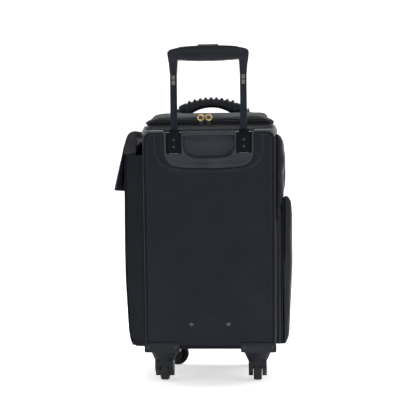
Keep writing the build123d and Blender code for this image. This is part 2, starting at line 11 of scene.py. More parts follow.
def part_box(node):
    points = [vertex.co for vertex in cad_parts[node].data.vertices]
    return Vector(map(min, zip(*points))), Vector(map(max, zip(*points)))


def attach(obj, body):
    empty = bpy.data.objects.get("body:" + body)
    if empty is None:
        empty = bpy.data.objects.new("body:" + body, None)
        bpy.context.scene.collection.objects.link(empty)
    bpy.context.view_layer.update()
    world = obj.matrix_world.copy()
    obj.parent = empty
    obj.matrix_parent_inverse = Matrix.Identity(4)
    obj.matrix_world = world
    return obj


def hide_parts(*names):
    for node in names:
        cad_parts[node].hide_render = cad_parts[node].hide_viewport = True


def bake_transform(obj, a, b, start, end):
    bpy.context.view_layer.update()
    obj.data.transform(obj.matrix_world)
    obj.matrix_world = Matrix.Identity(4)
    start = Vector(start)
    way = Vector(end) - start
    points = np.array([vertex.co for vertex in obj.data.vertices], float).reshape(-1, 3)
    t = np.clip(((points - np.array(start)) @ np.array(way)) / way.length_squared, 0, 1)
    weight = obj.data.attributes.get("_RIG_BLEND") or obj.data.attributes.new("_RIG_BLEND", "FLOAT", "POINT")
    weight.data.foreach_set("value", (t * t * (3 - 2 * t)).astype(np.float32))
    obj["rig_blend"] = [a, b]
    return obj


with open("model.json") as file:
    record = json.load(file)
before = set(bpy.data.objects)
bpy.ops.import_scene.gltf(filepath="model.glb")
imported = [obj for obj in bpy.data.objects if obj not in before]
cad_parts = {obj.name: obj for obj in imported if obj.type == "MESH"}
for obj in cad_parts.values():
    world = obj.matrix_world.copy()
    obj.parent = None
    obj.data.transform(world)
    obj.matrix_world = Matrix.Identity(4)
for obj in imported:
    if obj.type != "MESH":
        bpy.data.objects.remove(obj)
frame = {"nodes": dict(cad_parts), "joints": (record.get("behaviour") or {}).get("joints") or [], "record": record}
noise.seed_set(7)
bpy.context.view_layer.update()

MM = 0.001
SIDES = ((-1, "left"), (1, "right"))
CORNERS = ("back_left", "back_right", "front_left", "front_right")


# ---------------------------------------------------------------- places from the frame, in millimetres
def middle(node):
    lo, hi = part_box(node)
    return (Vector(lo) + Vector(hi)) / 2 / MM


# pieces are drawn about the middle of the case shell, which is ORIGIN in the row frame
ORIGIN = Vector((middle("base_panel").x, middle("base_panel").y, 0))


def span(node):
    """Lowest and highest corner of a CAD node about ORIGIN, in millimetres."""
    lo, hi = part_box(node)
    return Vector(lo) / MM - ORIGIN, Vector(hi) / MM - ORIGIN


def body_of(node):
    for body, members in frame["record"]["behaviour"]["bodies"].items():
        if node in members:
            return body
    raise ValueError(node)


def joint(name):
    return next(j for j in frame["joints"] if j["name"] == name)


# ---------------------------------------------------------------- materials
class Graph:
    """Short calls for building a material's nodes."""

    def __init__(self, name):
        self.material = bpy.data.materials.new(name)
        self.material.use_nodes = True
        self.tree = self.material.node_tree
        self.shader = self.tree.nodes["Principled BSDF"]
        self.place = self.add("ShaderNodeTexCoord").outputs["Object"]

    def add(self, kind, **inputs):
        node = self.tree.nodes.new(kind)
        for key, value in inputs.items():
            self.feed(node.inputs[key], value)
        return node

    def feed(self, socket, value):
        if isinstance(value, bpy.types.NodeSocket):
            self.tree.links.new(value, socket)
        else:
            socket.default_value = value

    def set(self, **inputs):
        for key, value in inputs.items():
            self.feed(self.shader.inputs[key.replace("_", " ")], value)

    def noise(self, scale, detail=3.0, where=None):
        node = self.add("ShaderNodeTexNoise", Scale=scale, Detail=detail)
        self.feed(node.inputs["Vector"], where or self.place)
        return node.outputs["Fac"]

    def cells(self, scale, where=None):
        node = self.add("ShaderNodeTexVoronoi", Scale=scale)
        self.feed(node.inputs["Vector"], where or self.place)
        return node.outputs["Distance"]

    def stretched(self, x, y, z):
        node = self.add("ShaderNodeMapping", Vector=self.place)
        node.inputs["Scale"].default_value = (x, y, z)
        return node.outputs["Vector"]

    def ramp(self, value, low, high, start=0.0, end=1.0):
        """Map a value from low..high to start..end."""
        node = self.add("ShaderNodeMapRange", Value=value)
        for key, number in (("From Min", low), ("From Max", high), ("To Min", start), ("To Max", end)):
            node.inputs[key].default_value = number
        return node.outputs["Result"]

    def mix(self, amount, first, second):
        node = self.add("ShaderNodeMix")
        node.data_type = "RGBA"
        self.feed(node.inputs["Factor"], amount)
        self.feed(node.inputs[6], first)
        self.feed(node.inputs[7], second)
        return node.outputs[2]

    def math(self, operation, first, second=0.0):
        node = self.add("ShaderNodeMath")
        node.operation = operation
        self.feed(node.inputs[0], first)
        self.feed(node.inputs[1], second)
        return node.outputs[0]

    def bump(self, height, distance, strength=1.0, normal=None):
        node = self.add("ShaderNodeBump", Height=height, Distance=distance, Strength=strength)
        if normal is not None:
            self.feed(node.inputs["Normal"], normal)
        return node.outputs["Normal"]

    def wear(self, low=0.52, high=0.6):
        """White on convex edges, black elsewhere."""
        return self.ramp(self.add("ShaderNodeNewGeometry").outputs["Pointiness"], low, high)


def rgb(r, g, b):
    return (r, g, b, 1.0)


def leather(name, dark, light, rough=0.46, grain=1.0, pucker=0.0, gloss=0.35):
    """Fine pebbled leather with a satin top coat, cloudy colour and paler worn edges."""
    g = Graph(name)
    pebbles = g.cells(950.0)
    pores = g.noise(2600.0, 2.0)
    clouds = g.noise(14.0, 4.0)
    broad = g.noise(55.0, 3.0)
    colour = g.mix(g.ramp(clouds, 0.32, 0.68), dark, light)
    colour = g.mix(g.ramp(pebbles, 0.0, 0.55, 0.35, 0.0), colour, rgb(dark[0] * 0.45, dark[1] * 0.45, dark[2] * 0.45))
    worn = rgb(light[0] * 2.3, light[1] * 2.3, light[2] * 2.3)
    colour = g.mix(g.math("MULTIPLY", g.wear(0.515, 0.58), 0.55), colour, worn)
    coarse = g.bump(broad, 0.0016, 0.25 + pucker)
    pebbled = g.bump(pebbles, 0.00022 * grain, 0.55, coarse)
    g.set(Base_Color=colour, Normal=g.bump(pores, 0.00006, 0.5, pebbled))
    g.set(Roughness=g.ramp(g.noise(38.0, 3.0), 0.3, 0.7, rough - 0.06, rough + 0.09))
    g.set(Sheen_Weight=0.03, Sheen_Roughness=0.45, Coat_Weight=0.04, Coat_Roughness=0.35)
    g.shader.inputs["Specular IOR Level"].default_value = gloss
    return g.material


def moulding(name, dark, light, rough=0.4, texture=1.0, gloss=0.35):
    """Injection-moulded plastic: fine spark texture, faint flow marks and polished edges."""
    g = Graph(name)
    spark = g.noise(3400.0, 2.0)
    flow = g.noise(30.0, 3.0, g.stretched(1.0, 1.0, 0.35))
    colour = g.mix(g.ramp(flow, 0.35, 0.65), dark, light)
    pale = rgb(light[0] * 2.2, light[1] * 2.2, light[2] * 2.2)
    colour = g.mix(g.math("MULTIPLY", g.wear(), 0.5), colour, pale)
    g.set(Base_Color=colour, Roughness=g.ramp(flow, 0.3, 0.7, rough - 0.05, rough + 0.08))
    g.set(Normal=g.bump(spark, 0.00005 * texture, 0.6, g.bump(g.noise(90.0), 0.0003, 0.12)))
    g.shader.inputs["Specular IOR Level"].default_value = gloss
    return g.material


def coated_metal(name, dark, light, rough=0.3, metallic=0.75, gloss=0.5):
    """Anodised or painted metal drawn along Z, with hairline marks and rubbed edges."""
    g = Graph(name)
    hairs = g.noise(900.0, 2.0, g.stretched(1.0, 1.0, 0.012))
    clouds = g.noise(25.0, 3.0)
    colour = g.mix(g.ramp(clouds, 0.35, 0.65), dark, light)
    pale = rgb(light[0] * 2.6, light[1] * 2.6, light[2] * 2.6)
    colour = g.mix(g.math("MULTIPLY", g.wear(), 0.6), colour, pale)
    g.set(Base_Color=colour, Metallic=metallic)
    g.set(Roughness=g.ramp(hairs, 0.3, 0.7, rough - 0.06, rough + 0.1), Normal=g.bump(hairs, 0.00004, 0.35))
    g.shader.inputs["Specular IOR Level"].default_value = gloss
    return g.material


def plated(name, base, tarnish, rough=0.16):
    """Polished plating with fine scratches and darker tarnish patches at random."""
    g = Graph(name)
    scratches = g.noise(1500.0, 4.0, g.stretched(0.2, 1.0, 1.0))
    colour = g.mix(g.ramp(g.noise(160.0), 0.4, 0.7), base, tarnish)
    g.set(Base_Color=colour, Metallic=1.0, Roughness=g.ramp(scratches, 0.3, 0.8, rough, rough + 0.16))
    g.set(Normal=g.bump(scratches, 0.00003, 0.4))
    return g.material


def woven(name, dark, light, thread=1500.0, rough=0.75):
    """Plain weave: two crossed sets of threads, with fuzz."""
    g = Graph(name)
    waves = []
    for direction in ("X", "Z"):
        wave = g.add("ShaderNodeTexWave", Scale=thread / 6.0, Distortion=0.6)
        wave.bands_direction = direction
        g.feed(wave.inputs["Vector"], g.place)
        waves.append(wave.outputs["Fac"])
    weave = g.math("MAXIMUM", *waves)
    colour = g.mix(g.ramp(weave, 0.2, 1.0), dark, light)
    colour = g.mix(g.ramp(g.noise(60.0), 0.4, 0.75, 0.0, 0.5), colour, light)
    g.set(Base_Color=colour, Roughness=rough, Sheen_Weight=0.25, Sheen_Roughness=0.5)
    g.set(Normal=g.bump(g.noise(4000.0), 0.00005, 0.4, g.bump(weave, 0.0002, 0.7)))
    return g.material


def rubber(name, dark, light):
    """Tyre rubber: dull, with random dusty patches and moulding grain."""
    g = Graph(name)
    dust = g.noise(120.0, 4.0)
    colour = g.mix(g.ramp(dust, 0.4, 0.7), dark, light)
    g.set(Base_Color=colour, Roughness=g.ramp(dust, 0.3, 0.7, 0.5, 0.7))
    g.set(Normal=g.bump(g.noise(1800.0), 0.0001, 0.4))
    return g.material


LEATHER = leather("case_leather", rgb(0.0115, 0.0138, 0.0205), rgb(0.0155, 0.0182, 0.0265), gloss=0.2)
PADDED = leather("padded_leather", rgb(0.013, 0.0148, 0.021), rgb(0.019, 0.0212, 0.029), rough=0.4, pucker=0.15,
                 gloss=0.42)
PIPING = leather("piping_leather", rgb(0.006, 0.0072, 0.0105), rgb(0.0095, 0.011, 0.0155), rough=0.5, grain=0.6,
                gloss=0.15)
# Lighter copy of the case leather: its paler colour is painted highlight for the collar, ledge and strap surfaces that
# face the top and side light
HIGHLIT_LEATHER = leather("creased_leather_painted_highlight", rgb(0.03, 0.0325, 0.0395), rgb(0.05, 0.0535, 0.062), rough=0.33, grain=0.7,
               pucker=0.45, gloss=0.6)
PLASTIC = moulding("black_moulding", rgb(0.008, 0.0105, 0.0155), rgb(0.012, 0.0148, 0.021))
# Paler than the other black mouldings: the lighter colour is painted reflection for the glossy recess bowl
DISH_PAINTED_REFLECTION = moulding("recess_moulding_painted_reflection", rgb(0.034, 0.0375, 0.0485), rgb(0.0445, 0.0495, 0.0625), rough=0.42, texture=1.6)
BLACK = moulding("socket_moulding", rgb(0.002, 0.0035, 0.006), rgb(0.0035, 0.0052, 0.008), rough=0.45, gloss=0.15)
SHOULDER = leather("shoulder_leather", rgb(0.013, 0.0148, 0.021), rgb(0.019, 0.0212, 0.029), rough=0.4,
                   pucker=0.15, gloss=0.3)
# Darker copy of the case leather: its darker colour is painted shade on the lid's top
LID_LEATHER_PAINTED_SHADE = leather("lid_leather_painted_shade", rgb(0.0075, 0.0098, 0.0145), rgb(0.0115, 0.0145, 0.02), rough=0.55, pucker=0.15,
                      gloss=0.08)
LUG = moulding("pale_lug", rgb(0.075, 0.072, 0.075), rgb(0.12, 0.115, 0.118), rough=0.35)
RIM = moulding("wheel_moulding", rgb(0.012, 0.0125, 0.015), rgb(0.02, 0.021, 0.024), rough=0.36)
TUBE = coated_metal("black_tube", rgb(0.0045, 0.0068, 0.011), rgb(0.008, 0.0112, 0.0168), metallic=0.1, gloss=0.2)
ALUMINIUM = coated_metal("drawn_aluminium", rgb(0.42, 0.43, 0.45), rgb(0.55, 0.56, 0.58), rough=0.34, metallic=1.0)
STEEL = coated_metal("steel", rgb(0.36, 0.36, 0.38), rgb(0.5, 0.5, 0.52), rough=0.28, metallic=1.0)
SCREW = coated_metal("dark_screw", rgb(0.035, 0.037, 0.042), rgb(0.06, 0.062, 0.068), rough=0.25, metallic=0.9)
BRIGHT = coated_metal("nickel_screw", rgb(0.07, 0.07, 0.075), rgb(0.16, 0.155, 0.15), rough=0.22, metallic=1.0)
GOLD = plated("gold_plate", rgb(0.86, 0.62, 0.28), rgb(0.6, 0.4, 0.16))
TAPE = woven("zip_tape", rgb(0.004, 0.0045, 0.006), rgb(0.012, 0.013, 0.016))
LINING = woven("lining", rgb(0.02, 0.021, 0.025), rgb(0.045, 0.046, 0.052), thread=1100.0)
TEETH = moulding("zip_teeth", rgb(0.006, 0.0065, 0.008), rgb(0.012, 0.0125, 0.015), rough=0.3)
THREAD = woven("thread", rgb(0.012, 0.013, 0.016), rgb(0.03, 0.031, 0.035), thread=3000.0, rough=0.6)
TYRE = rubber("tyre_rubber", rgb(0.012, 0.0125, 0.014), rgb(0.02, 0.0205, 0.022))
BOARD = moulding("covered_board", rgb(0.01, 0.0105, 0.013), rgb(0.016, 0.0165, 0.019), rough=0.6, texture=2.0)


# ---------------------------------------------------------------- mesh helpers
def finish_piece(obj, material, body, nodes=()):
    """Give a piece its material, its body, and the CAD nodes it stands for."""
    obj.data.materials.clear()
    obj.data.materials.append(material)
    if body:
        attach(obj, body)
    if nodes:
        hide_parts(*nodes)
    return obj


def finish_blend(obj, material, first, second, start, end):
    """Fabric that bends from one body to the next between two places about ORIGIN."""
    obj.data.materials.clear()
    obj.data.materials.append(material)
    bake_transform(obj, first, second, tuple((Vector(start) + ORIGIN) * MM), tuple((Vector(end) + ORIGIN) * MM))
    return obj


def mesh_object(name, points, faces, flat=False):
    """Object from points in millimetres about ORIGIN, with smooth shading unless flat."""
    mesh = bpy.data.meshes.new(name)
    mesh.from_pydata([tuple((Vector(p) + ORIGIN) * MM) for p in points], [], [tuple(f) for f in faces])
    mesh.update()
    work = bmesh.new()
    work.from_mesh(mesh)
    bmesh.ops.recalc_face_normals(work, faces=work.faces)
    work.to_mesh(mesh)
    work.free()
    if not flat:
        mesh.shade_smooth()
    obj = bpy.data.objects.new(name, mesh)
    bpy.context.collection.objects.link(obj)
    return obj


def apply_modifiers(obj):
    """Bake an object's modifiers into its mesh."""
    bpy.context.view_layer.update()
    graph = bpy.context.evaluated_depsgraph_get()
    mesh = bpy.data.meshes.new_from_object(obj.evaluated_get(graph), preserve_all_data_layers=False, depsgraph=graph)
    obj.modifiers.clear()
    old = obj.data
    obj.data = mesh
    bpy.data.meshes.remove(old)
    return obj


def modify(obj, kind, **settings):
    modifier = obj.modifiers.new(kind.lower(), kind)
    for key, value in settings.items():
        setattr(modifier, key, value)
    return modifier


def solidify(obj, thickness, offset=-1.0):
    modify(obj, "SOLIDIFY", thickness=thickness * MM, offset=offset)
    return apply_modifiers(obj)


def subdivide(obj, levels=1):
    modify(obj, "SUBSURF", levels=levels, render_levels=levels)
    return apply_modifiers(obj)


def cad_copy(node, name):
    """A welded copy of a CAD node's mesh, as a new object."""
    mesh = frame["nodes"][node].data.copy()
    mesh.materials.clear()
    work = bmesh.new()
    work.from_mesh(mesh)
    bmesh.ops.remove_doubles(work, verts=work.verts, dist=1e-6)
    bmesh.ops.dissolve_limit(work, angle_limit=math.radians(0.6), verts=work.verts, edges=work.edges)
    bmesh.ops.recalc_face_normals(work, faces=work.faces)
    work.to_mesh(mesh)
    work.free()
    for attribute in [a for a in mesh.attributes if a.name in ("sharp_edge", "sharp_face", "custom_normal")]:
        mesh.attributes.remove(attribute)
    mesh.name = name
    obj = bpy.data.objects.new(name, mesh)
    bpy.context.collection.objects.link(obj)
    return obj


def bevelled(node, material, width=0.8, segments=3, angle=28):
    """A rigid CAD node with its hard edges rounded over."""
    obj = cad_copy(node, node + "_shell")
    modify(obj, "BEVEL", width=width * MM, segments=segments, limit_method="ANGLE",
           angle_limit=math.radians(angle), use_clamp_overlap=True)
    apply_modifiers(obj)
    obj.data.shade_smooth()
    modify(obj, "WEIGHTED_NORMAL", keep_sharp=False, weight=60)
    apply_modifiers(obj)
    return finish_piece(obj, material, body_of(node), [node])


def remeshed(node, name, voxel, rounds=6, factor=0.5):
    """A CAD node remeshed into even quads with its edges softened."""
    obj = cad_copy(node, name)
    modify(obj, "REMESH", mode="VOXEL", voxel_size=voxel * MM, use_smooth_shade=True)
    modify(obj, "SMOOTH", factor=factor, iterations=rounds)
    return apply_modifiers(obj)


def inflate(obj, pressure=4.0, cap=8.0, frames=20):
    """Swell a closed mesh like a stuffed cover with Cloth, and cap how far any point may move."""
    rest = np.empty(len(obj.data.vertices) * 3)
    obj.data.vertices.foreach_get("co", rest)
    cloth = modify(obj, "CLOTH")
    cloth.settings.use_pressure = True
    cloth.settings.uniform_pressure_force = pressure
    cloth.settings.effector_weights.gravity = 0.0
    cloth.settings.quality = 4
    cloth.collision_settings.use_collision = False
    cloth.point_cache.frame_start = 1
    cloth.point_cache.frame_end = frames
    scene = bpy.context.scene
    for number in range(1, frames + 1):
        scene.frame_set(number)
    apply_modifiers(obj)
    scene.frame_set(1)
    moved = np.empty(len(obj.data.vertices) * 3)
    obj.data.vertices.foreach_get("co", moved)
    rest = rest.reshape(-1, 3)
    step = moved.reshape(-1, 3) - rest
    length = np.linalg.norm(step, axis=1, keepdims=True)
    limit = cap * MM
    step *= np.where(length > 1e-9, limit * np.tanh(length / limit) / np.maximum(length, 1e-9), 0.0)
    obj.data.vertices.foreach_set("co", (rest + step).ravel())
    obj.data.update()
    return obj


def ruffle(points, amount, size, seed, mask=None):
    """Move points by smooth noise, in millimetres, for the slack of a sewn cover."""
    result = []
    for p in points:
        p = Vector(p)
        shift = noise.noise_vector(p / size + Vector((seed, seed * 1.7, seed * 0.3)))
        strength = amount * (mask(p) if mask else 1.0)
        result.append(p + shift * strength)
    return result


def arc_loop(x0, x1, y0, y1, r, corner_steps=8, side_steps=20):
    """Points round a rounded rectangle in XY, starting on the back side and running to +X."""
    loop = []
    corners = (
        (x1 - r, y0 + r, -90, (x0 + r, y0)),
        (x1 - r, y1 - r, 0, (x1, y0 + r)),
        (x0 + r, y1 - r, 90, (x1 - r, y1)),
        (x0 + r, y0 + r, 180, (x0, y1 - r)),
    )
    for cx, cy, start, side_start in corners:
        a = math.radians(start)
        side_end = (cx + r * math.cos(a), cy + r * math.sin(a))
        for k in range(side_steps):
            t = k / side_steps
            loop.append((side_start[0] + (side_end[0] - side_start[0]) * t,
                         side_start[1] + (side_end[1] - side_start[1]) * t))
        for k in range(corner_steps):
            b = a + math.radians(90) * k / corner_steps
            loop.append((cx + r * math.cos(b), cy + r * math.sin(b)))
    return loop


def stack_faces(rings, count, wrap=False, cap_last=False, cap_first=False):
    """Quads between rings of count points each."""
    faces = []
    for i in range(rings if wrap else rings - 1):
        j = (i + 1) % rings
        for k in range(count):
            n = (k + 1) % count
            faces.append((i * count + k, i * count + n, j * count + n, j * count + k))
    if cap_last:
        faces.append(tuple((rings - 1) * count + k for k in range(count)))
    if cap_first:
        faces.append(tuple(reversed(range(count))))
    return faces


def frames_along(path, up, closed):
    """Tangent, side and up vectors along a path, carried without twist."""
    n = len(path)
    up = Vector(up)
    result = []
    for i in range(n):
        before = path[(i - 1) % n] if closed or i > 0 else path[i]
        after = path[(i + 1) % n] if closed or i < n - 1 else path[i]
        t = (after - before).normalized()
        side = t.cross(up)
        if side.length < 1e-6:
            side = t.orthogonal()
        side.normalize()
        up = side.cross(t).normalized()
        result.append((t, side, up))
    return result


def sweep(name, path, section, up=(0, 0, 1), closed=False, scale=None):
    """Tube along a path. section is a list of (side, up) offsets; scale gives a factor pair per path index."""
    path = [Vector(p) for p in path]
    points = []
    for i, (_, side, rise) in enumerate(frames_along(path, up, closed)):
        sx, sy = scale(i / max(1, len(path) - 1)) if scale else (1.0, 1.0)
        for a, b in section:
            points.append(path[i] + side * (a * sx) + rise * (b * sy))
    count = len(section)
    return mesh_object(name, points, stack_faces(len(path), count, wrap=closed, cap_last=not closed,
                                                 cap_first=not closed))


def oval(rx, ry, steps=16, power=2.0):
    """Superellipse section."""
    ring = []
    for k in range(steps):
        a = 2 * math.pi * k / steps
        c, s = math.cos(a), math.sin(a)
        ring.append((rx * math.copysign(abs(c) ** (2 / power), c), ry * math.copysign(abs(s) ** (2 / power), s)))
    return ring


def resample(path, step):
    """Even points along a polyline, about step apart."""
    path = [Vector(p) for p in path]
    lengths = [0.0]
    for a, b in zip(path, path[1:]):
        lengths.append(lengths[-1] + (b - a).length)
    count = max(2, round(lengths[-1] / step) + 1)
    result = []
    j = 0
    for k in range(count):
        d = lengths[-1] * k / (count - 1)
        while j < len(path) - 2 and lengths[j + 1] < d:
            j += 1
        part = (d - lengths[j]) / max(1e-9, lengths[j + 1] - lengths[j])
        result.append(path[j].lerp(path[j + 1], min(1.0, part)))
    return result


def stitches(name, paths, outward, body, length=3.0, pitch=4.4, width=0.42, rise=0.3):
    """Rows of short thread stitches lying on a surface. outward is a vector, or a function of the point."""
    points = []
    faces = []
    rings = ((-0.5, 0.35), (-0.32, 0.95), (0.0, 1.0), (0.32, 0.95), (0.5, 0.35))
    for path in paths:
        row = resample(path, pitch)
        for a, b in zip(row, row[1:]):
            t = (b - a).normalized()
            centre = (a + b) / 2
            up = Vector(outward(centre) if callable(outward) else outward).normalized()
            side = t.cross(up).normalized()
            base = len(points)
            for place, size in rings:
                for k in range(6):
                    angle = math.pi * k / 3
                    points.append(centre + t * (place * length) + side * (math.cos(angle) * width * size)
                                  + up * (math.sin(angle) * width * size * 0.8 + rise * size))
            for i in range(len(rings) - 1):
                for k in range(6):
                    n = (k + 1) % 6
                    faces.append((base + i * 6 + k, base + i * 6 + n, base + i * 6 + 6 + n, base + i * 6 + 6 + k))
            faces.append(tuple(base + k for k in range(6)))
            faces.append(tuple(base + (len(rings) - 1) * 6 + k for k in range(6)))
    return finish_piece(mesh_object(name, points, faces), THREAD, body)


def lathe(name, profile, centre, axis, steps=64):
    """Closed solid of revolution. profile is a closed list of (radius, along axis)."""
    axis = Vector(axis).normalized()
    side = axis.orthogonal().normalized()
    other = axis.cross(side)
    points = []
    for k in range(steps):
        a = 2 * math.pi * k / steps
        out = side * math.cos(a) + other * math.sin(a)
        points += [Vector(centre) + out * r + axis * h for r, h in profile]
    count = len(profile)
    faces = stack_faces(steps, count, wrap=True)
    return mesh_object(name, points, faces)


def mirror_x(points):
    return [Vector((-p[0], p[1], p[2])) for p in points]


# ---------------------------------------------------------------- case shell
BACK_LO, BACK_HI = span("back_panel")
FRONT_LO, FRONT_HI = span("front_panel")
SIDE_LO, SIDE_HI = span("right_side_panel")
PIPE_LO, PIPE_HI = span("piping")
BEZEL_LO, BEZEL_HI = span("recess_bezel")
TRAY_LO, TRAY_HI = span("recess_tray")
COLLAR_LO, COLLAR_HI = span("top_collar")
LEDGE_LO, LEDGE_HI = span("top_ledge")
LID_LO, LID_HI = span("lid_panel")
TAPER = 3.0              # the shell is this much narrower at the foot, each side
PIPE_R = 3.0


def edge_spaced(low, high, count, fine=(0.0, 0.5, 1.2, 2.2, 4.0, 8.0)):
    """Values from low to high, close together near both ends."""
    inner = np.linspace(low + 16.0, high - 16.0, count)
    return [low + d for d in fine] + list(inner) + [high - d for d in reversed(fine)]


def board(name, place, half, z_low, z_high, radii, crown, material, nodes, hole=None, thick=1.6):
    """A covered board: crowned face, rolled edges, round corners. place(u, z, out) gives its points."""
    low_r, high_r = radii
    roll = 2.6
    columns = edge_spaced(-1.0 * half(z_high), half(z_high), 36)
    rows = edge_spaced(z_low, z_high, 60)
    widest = half(z_high)
    points = []
    for z in rows:
        for u in columns:
            x = u * half(z) / widest
            corner = low_r if z < (z_low + z_high) / 2 else high_r
            a = abs(x) - (half(z) - corner)
            b = (z_low + corner - z) if z < (z_low + z_high) / 2 else (z - z_high + corner)
            edge = min(half(z) - abs(x), z - z_low, z_high - z)
            px, pz = x, z
            if a > 0 and b > 0 and corner > 0:
                shrink = max(a, b) / math.hypot(a, b)
                px = math.copysign(half(z) - corner + a * shrink, x)
                lift = corner - b * shrink
                pz = z_low + lift if z < (z_low + z_high) / 2 else z_high - lift
                edge = corner - max(a, b)
            drop = roll - math.sqrt(max(0.0, roll ** 2 - (roll - min(edge, roll)) ** 2))
            u1 = abs(x) / half(z)
            v1 = abs(2 * (z - z_low) / (z_high - z_low) - 1)
            out = crown * (1 - u1 ** 4) * (1 - v1 ** 6) - drop
            out += 0.35 * noise.noise(Vector((px / 60, pz / 80, crown + len(name)))) * min(1.0, edge / 12)
            points.append(place(px, pz, out))
    width = len(columns)
    faces = []
    for i in range(len(rows) - 1):
        for k in range(width - 1):
            quad = (i * width + k, i * width + k + 1, (i + 1) * width + k + 1, (i + 1) * width + k)
            centre = sum((Vector(points[q]) for q in quad), Vector()) / 4
            if hole and hole(centre):
                continue
            faces.append(quad)
    obj = mesh_object(name, points, faces)
    work = bmesh.new()
    work.from_mesh(obj.data)
    bmesh.ops.delete(work, geom=[v for v in work.verts if not v.link_faces], context="VERTS")
    bmesh.ops.remove_doubles(work, verts=work.verts, dist=1e-5)
    work.to_mesh(obj.data)
    work.free()
    solidify(obj, thick, offset=0.0)
    obj.data.shade_smooth()
    return finish_piece(obj, material, "case_body", nodes)


def outline_path(y, inset=0.0, gap=None):
    """The piping's line round the back or front; gap leaves out the middle of the top edge."""
    z0, z1 = PIPE_LO.z + PIPE_R + inset, PIPE_HI.z - PIPE_R - inset
    wide = PIPE_HI.x - PIPE_R - inset
    narrow = wide - TAPER
    low_r, high_r = 17.0 - inset, 15.0 - inset
    start = gap if gap else 0.0
    path = [(start, z1), (wide - high_r - 8, z1)]
    path += [(wide - high_r + high_r * math.sin(a), z1 - high_r + high_r * math.cos(a))
             for a in np.linspace(0, math.pi / 2, 12)]
    path += [(wide + (narrow - wide) * t, z1 - high_r + (z0 + low_r - z1 + high_r) * t)
             for t in np.linspace(0.02, 0.98, 40)]
    path += [(narrow - low_r + low_r * math.cos(a), z0 + low_r - low_r * math.sin(a))
             for a in np.linspace(0, math.pi / 2, 12)]
    path += [(narrow - low_r - 10, z0), (0.01, z0)]
    right = [Vector((x, y, z)) for x, z in path]
    left = [Vector((-x, y, z)) for x, z in reversed(path)]
    return right + left[1:] if gap else right + left[1:-1]


def piping():
    """Leather cord welt round both ends of the shell; the back one stops at the recess."""
    cord = oval(PIPE_R, PIPE_R, 14)
    back_y = PIPE_LO.y + PIPE_R
    front_y = PIPE_HI.y - PIPE_R
    back = sweep("piping_back", resample(outline_path(back_y, gap=TRAY_HI.x + 0.9), 4.0), cord, up=(0, 1, 0))
    front = sweep("piping_front", outline_path(front_y), cord, up=(0, 1, 0), closed=True)
    finish_piece(back, PIPING, "case_body", ["piping"])
    finish_piece(front, PIPING, "case_body")


def recess_mid(p):
    """Just outside the tray, so that the board's cut edge hides under the bezel."""
    half = TRAY_HI.x + 4.0
    corner = 32.0
    x = abs(p.x)
    low = TRAY_LO.z - 2.5 + 5.0 * (x / half) ** 2
    if x > half or p.z < low:
        return False
    a, b = x - (half - corner), (low + corner) - p.z
    return not (a > 0 and b > 0 and math.hypot(a, b) > corner)


def shell_boards():
    zs = (BACK_LO.z, BACK_HI.z)

    def back_half(z):
        return BACK_HI.x - TAPER * (zs[1] - z) / (zs[1] - zs[0])

    board("back_skin", lambda u, z, out: Vector((u, BACK_LO.y + 0.8 - out, z)), back_half, *zs, (14, 12), 1.1,
          LEATHER, ["back_panel"], hole=recess_mid)
    board("front_skin", lambda u, z, out: Vector((u, FRONT_HI.y - 0.8 + out, z)), back_half, *zs, (14, 12), 1.1,
          LEATHER, ["front_panel"])
    for sign, side in SIDES:
        board(side + "_side_skin", lambda u, z, out, s=sign: Vector((s * (SIDE_HI.x - 0.8 + out), u, z)),
              lambda z: SIDE_HI.y + 1.0, SIDE_LO.z, SIDE_HI.z + 1.5, (0, 0), 1.6, LEATHER, [side + "_side_panel"])


def ring_of(z, x, y0, y1, r, side_steps=26):
    return [Vector((a, b, z)) for a, b in arc_loop(-x, x, y0, y1, r, side_steps=side_steps)]


def cut_box(obj, lo, hi):
    """Take a box, in millimetres about ORIGIN, out of a piece."""
    corners = [(x, y, z) for x in (lo[0], hi[0]) for y in (lo[1], hi[1]) for z in (lo[2], hi[2])]
    quads = [(0, 1, 3, 2), (4, 6, 7, 5), (0, 4, 5, 1), (2, 3, 7, 6), (0, 2, 6, 4), (1, 5, 7, 3)]
    tool = mesh_object("cutter", corners, quads, flat=True)
    modify(obj, "BOOLEAN", object=tool, operation="DIFFERENCE", solver="EXACT")
    apply_modifiers(obj)
    bpy.data.objects.remove(tool)
    return obj


